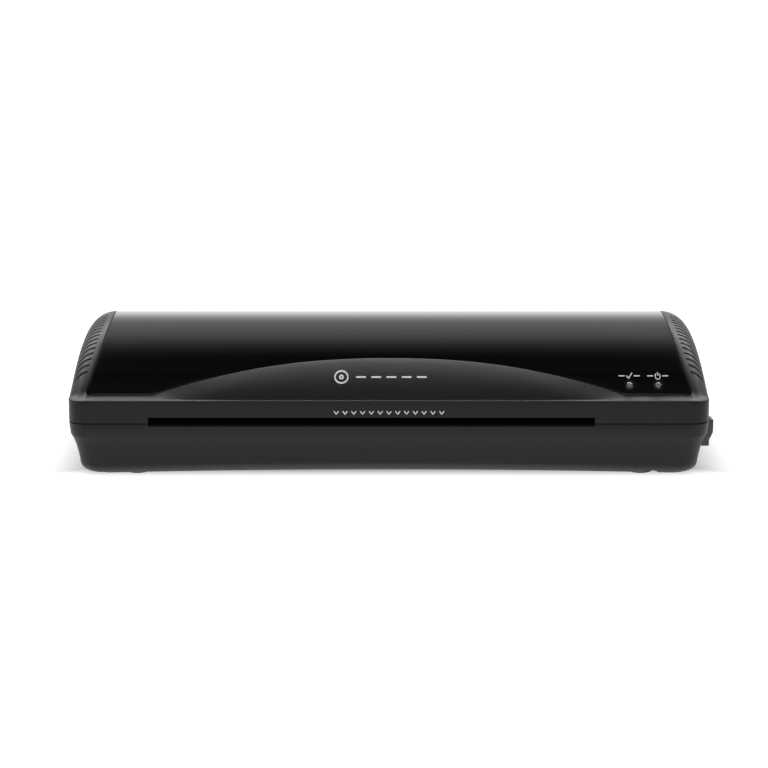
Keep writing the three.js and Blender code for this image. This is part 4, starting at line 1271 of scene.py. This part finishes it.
def dress_frame():
    """The mechanism inside stays as the frame's own nodes, with rounded edges and the record's finishes."""
    for name, slot in SLOT_OF.items():
        node = frame["nodes"][name]
        node.data.materials.clear()
        node.data.materials.append(LOOKS[slot])
        shade_angle(node)
        bevelled(node, 0.15 * MM, 2)


def shade_angle(node):
    """Smooth shading on a frame node except at its edges, without touching its points."""
    node.data.polygons.foreach_set("use_smooth", [True] * len(node.data.polygons))
    bm = bmesh.new()
    bm.from_mesh(node.data)
    sharp = [edge.index for edge in bm.edges if edge.calc_face_angle(4) > radians(35)]
    bm.free()
    for index in sharp:
        node.data.edges[index].use_edge_sharp = True


def build():
    """Makes every visible piece. What stays inside keeps its frame node."""
    replace_node("upper_shell", case_top())
    replace_node("gloss_cover", cover_panel())
    replace_node("lower_shell", case_bottom())
    for label in ("ready", "power"):
        replace_node(label + "_lens", lens(label))
        replace_node(label + "_bezel", lens_ring(label))
    for name in FEET:
        replace_node(name, foot_pad(name))
    for name in SCREWS:
        replace_node(name, screw(name))
    replace_node("switch_housing", switch_frame())
    replace_node("switch_rocker", rocker())
    dress(rocker_marks(), INK_LOOK, "power_rocker")
    replace_node("power_inlet", inlet())
    dress(inlet_pins(), LOOKS["plated_steel"])
    replace_node("release_lever", release_handle())
    dress(indicator_marks(), INK_LOOK)
    add_springs()
    dress(feed_marks(), INK_LOOK)
    dress(emblem(), INK_LOOK)


# ---- stage, light and camera

FLOOR_HALF = 8
FLOOR_STEPS = 16
FLOOR_GLOW = 0.95
# the glow sets in between these distances from the middle; nearer in the floor gets no glow, which paints a shadow
# on the floor under and round the machine
PAINTED_SHADOW_BORDER = [("X", 150 * MM, 200 * MM), ("Y", 40 * MM, 60 * MM)]


def stage_floor():
    """A wide pale floor, very slightly mottled. It glows like a light table, but the glow is masked off under and
    beside the machine, which paints a soft shadow on the floor there.
    """
    lines = [k / FLOOR_STEPS * FLOOR_HALF for k in range(-FLOOR_STEPS, FLOOR_STEPS + 1)]
    row = len(lines)
    faces = [(y * row + x, y * row + x + 1, (y + 1) * row + x + 1, (y + 1) * row + x)
             for y in range(row - 1) for x in range(row - 1)]
    floor = plain_object("floor", [(x, y, 0) for y in lines for x in lines], faces)
    look = Look("floor", (0.5, 0.5, 0.505), 0.8)
    look.vary(3, 0.004).polish(5, 0.02)
    # the glow rises from nothing near the machine to full further out: a painted shadow on the floor round the
    # machine
    split = look.add("SeparateXYZ", {"Vector": look.where})
    outside = look.add("Math", {}, operation="MAXIMUM")
    for k, (axis, near, far) in enumerate(PAINTED_SHADOW_BORDER):
        size = look.add("Math", {}, operation="ABSOLUTE")
        look.tree.links.new(split.outputs[axis], size.inputs[0])
        glow = look.ranged(size.outputs[0], 0, FLOOR_GLOW, near, far)
        look.tree.links.new(glow, outside.inputs[k])
    look.shader({"Specular IOR Level": 0.1, "Emission Color": (1, 1, 1, 1),
                 "Emission Strength": outside.outputs[0]})
    floor.data.materials.append(look.material)


# (sine of the elevation, brightness) of the backdrop
SKY = [(0.2, 1.35), (0.42, 1.02), (0.56, 0.86), (0.82, 0.92), (0.9, 0.64), (0.96, 0.25), (0.995, 0.03)]
FRONT_SHARE = 0.06                # the backdrop's brightness in front, beside that behind


def stage_world():
    """A bright backdrop behind and round the sides that fades to black overhead and in front."""
    world = bpy.data.worlds.new("studio")
    bpy.context.scene.world = world
    world.use_nodes = True
    studio = Nodes(world.node_tree)
    where = studio.add("TexCoord", {}).outputs["Generated"]
    split = studio.add("SeparateXYZ", {"Vector": where})
    up = studio.add("ValToRGB", {"Fac": split.outputs["Z"]})
    stops = up.color_ramp.elements
    stops.remove(stops[1])
    for k, (height, level) in enumerate(SKY):
        stop = stops[0] if k == 0 else stops.new(height)
        stop.position = height
        stop.color = (level, level, level, 1)
    back_share = studio.ranged(split.outputs["Y"], FRONT_SHARE, 1, -0.25, 0.1)
    dimmed = studio.add("VectorMath", {"Vector": up.outputs["Color"], "Scale": back_share}, operation="SCALE")
    studio.feed(studio.tree.nodes["Background"], {"Color": dimmed.outputs["Vector"], "Strength": 1})


MACHINE_MIDDLE = (0, 0, 0.05)


def soft_light(name, location, target, size, power, glossy=False):
    data = bpy.data.lights.new(name, "AREA")
    data.shape = "RECTANGLE"
    data.size, data.size_y = size
    data.energy = power
    light = link(name, data)
    light.location = location
    light.rotation_mode = "QUATERNION"
    light.rotation_quaternion = (Vector(target) - Vector(location)).to_track_quat("-Z", "Y")
    light.visible_glossy = glossy
    light.visible_camera = False
    return light


def stage_lights():
    """Soft boxes above and in front, and strips that only the satin top and the two domes catch."""
    soft_light("overhead", (0, -0.1, 1.6), (0, 0, 0), (2.4, 2.4), 26)
    soft_light("front_fill", (0, -1.8, 0.9), MACHINE_MIDDLE, (2.0, 0.8), 5, True)
    strips = [soft_light("edge_strip", (0, 0.8, 1.15), MACHINE_MIDDLE, (3.0, 0.5), 44, True)]
    strips += [soft_light("side_strip", (side * 0.9, 0.1, 1.2), MACHINE_MIDDLE, (0.5, 0.8), 10, True)
               for side in (-1, 1)]
    lit_by_strips = bpy.data.collections.new("lit_by_strips")
    for name in ("case_top", "ready_dome", "power_dome"):
        lit_by_strips.objects.link(bpy.data.objects[name])
    for strip_light in strips:
        strip_light.light_linking.receiver_collection = lit_by_strips


CAMERA_DISTANCE = 1.1
CAMERA_ELEVATION = radians(15)
CAMERA_TILT = radians(13.9)  # the aim lies a little above the seam's front
CAMERA_ASIDE = -2.6 * MM


def stage_camera():
    """A long lens straight in front, looking down fifteen degrees at the front of the seam."""
    data = bpy.data.cameras.new("camera")
    data.sensor_width = 36
    data.lens = 98.4
    camera = link("camera", data)
    seam_front = Vector((CENTRE_X, -HALF_DEPTH, SEAM_Z))
    back, up = CAMERA_DISTANCE * cos(CAMERA_ELEVATION), CAMERA_DISTANCE * sin(CAMERA_ELEVATION)
    camera.location = seam_front + Vector((CAMERA_ASIDE, -back, up))
    camera.rotation_euler = (pi / 2 - CAMERA_TILT, 0, 0)
    bpy.context.scene.camera = camera


dress_frame()
build()
stage_floor()
stage_world()
stage_lights()
stage_camera()
bpy.context.scene.view_settings.view_transform = "Standard"
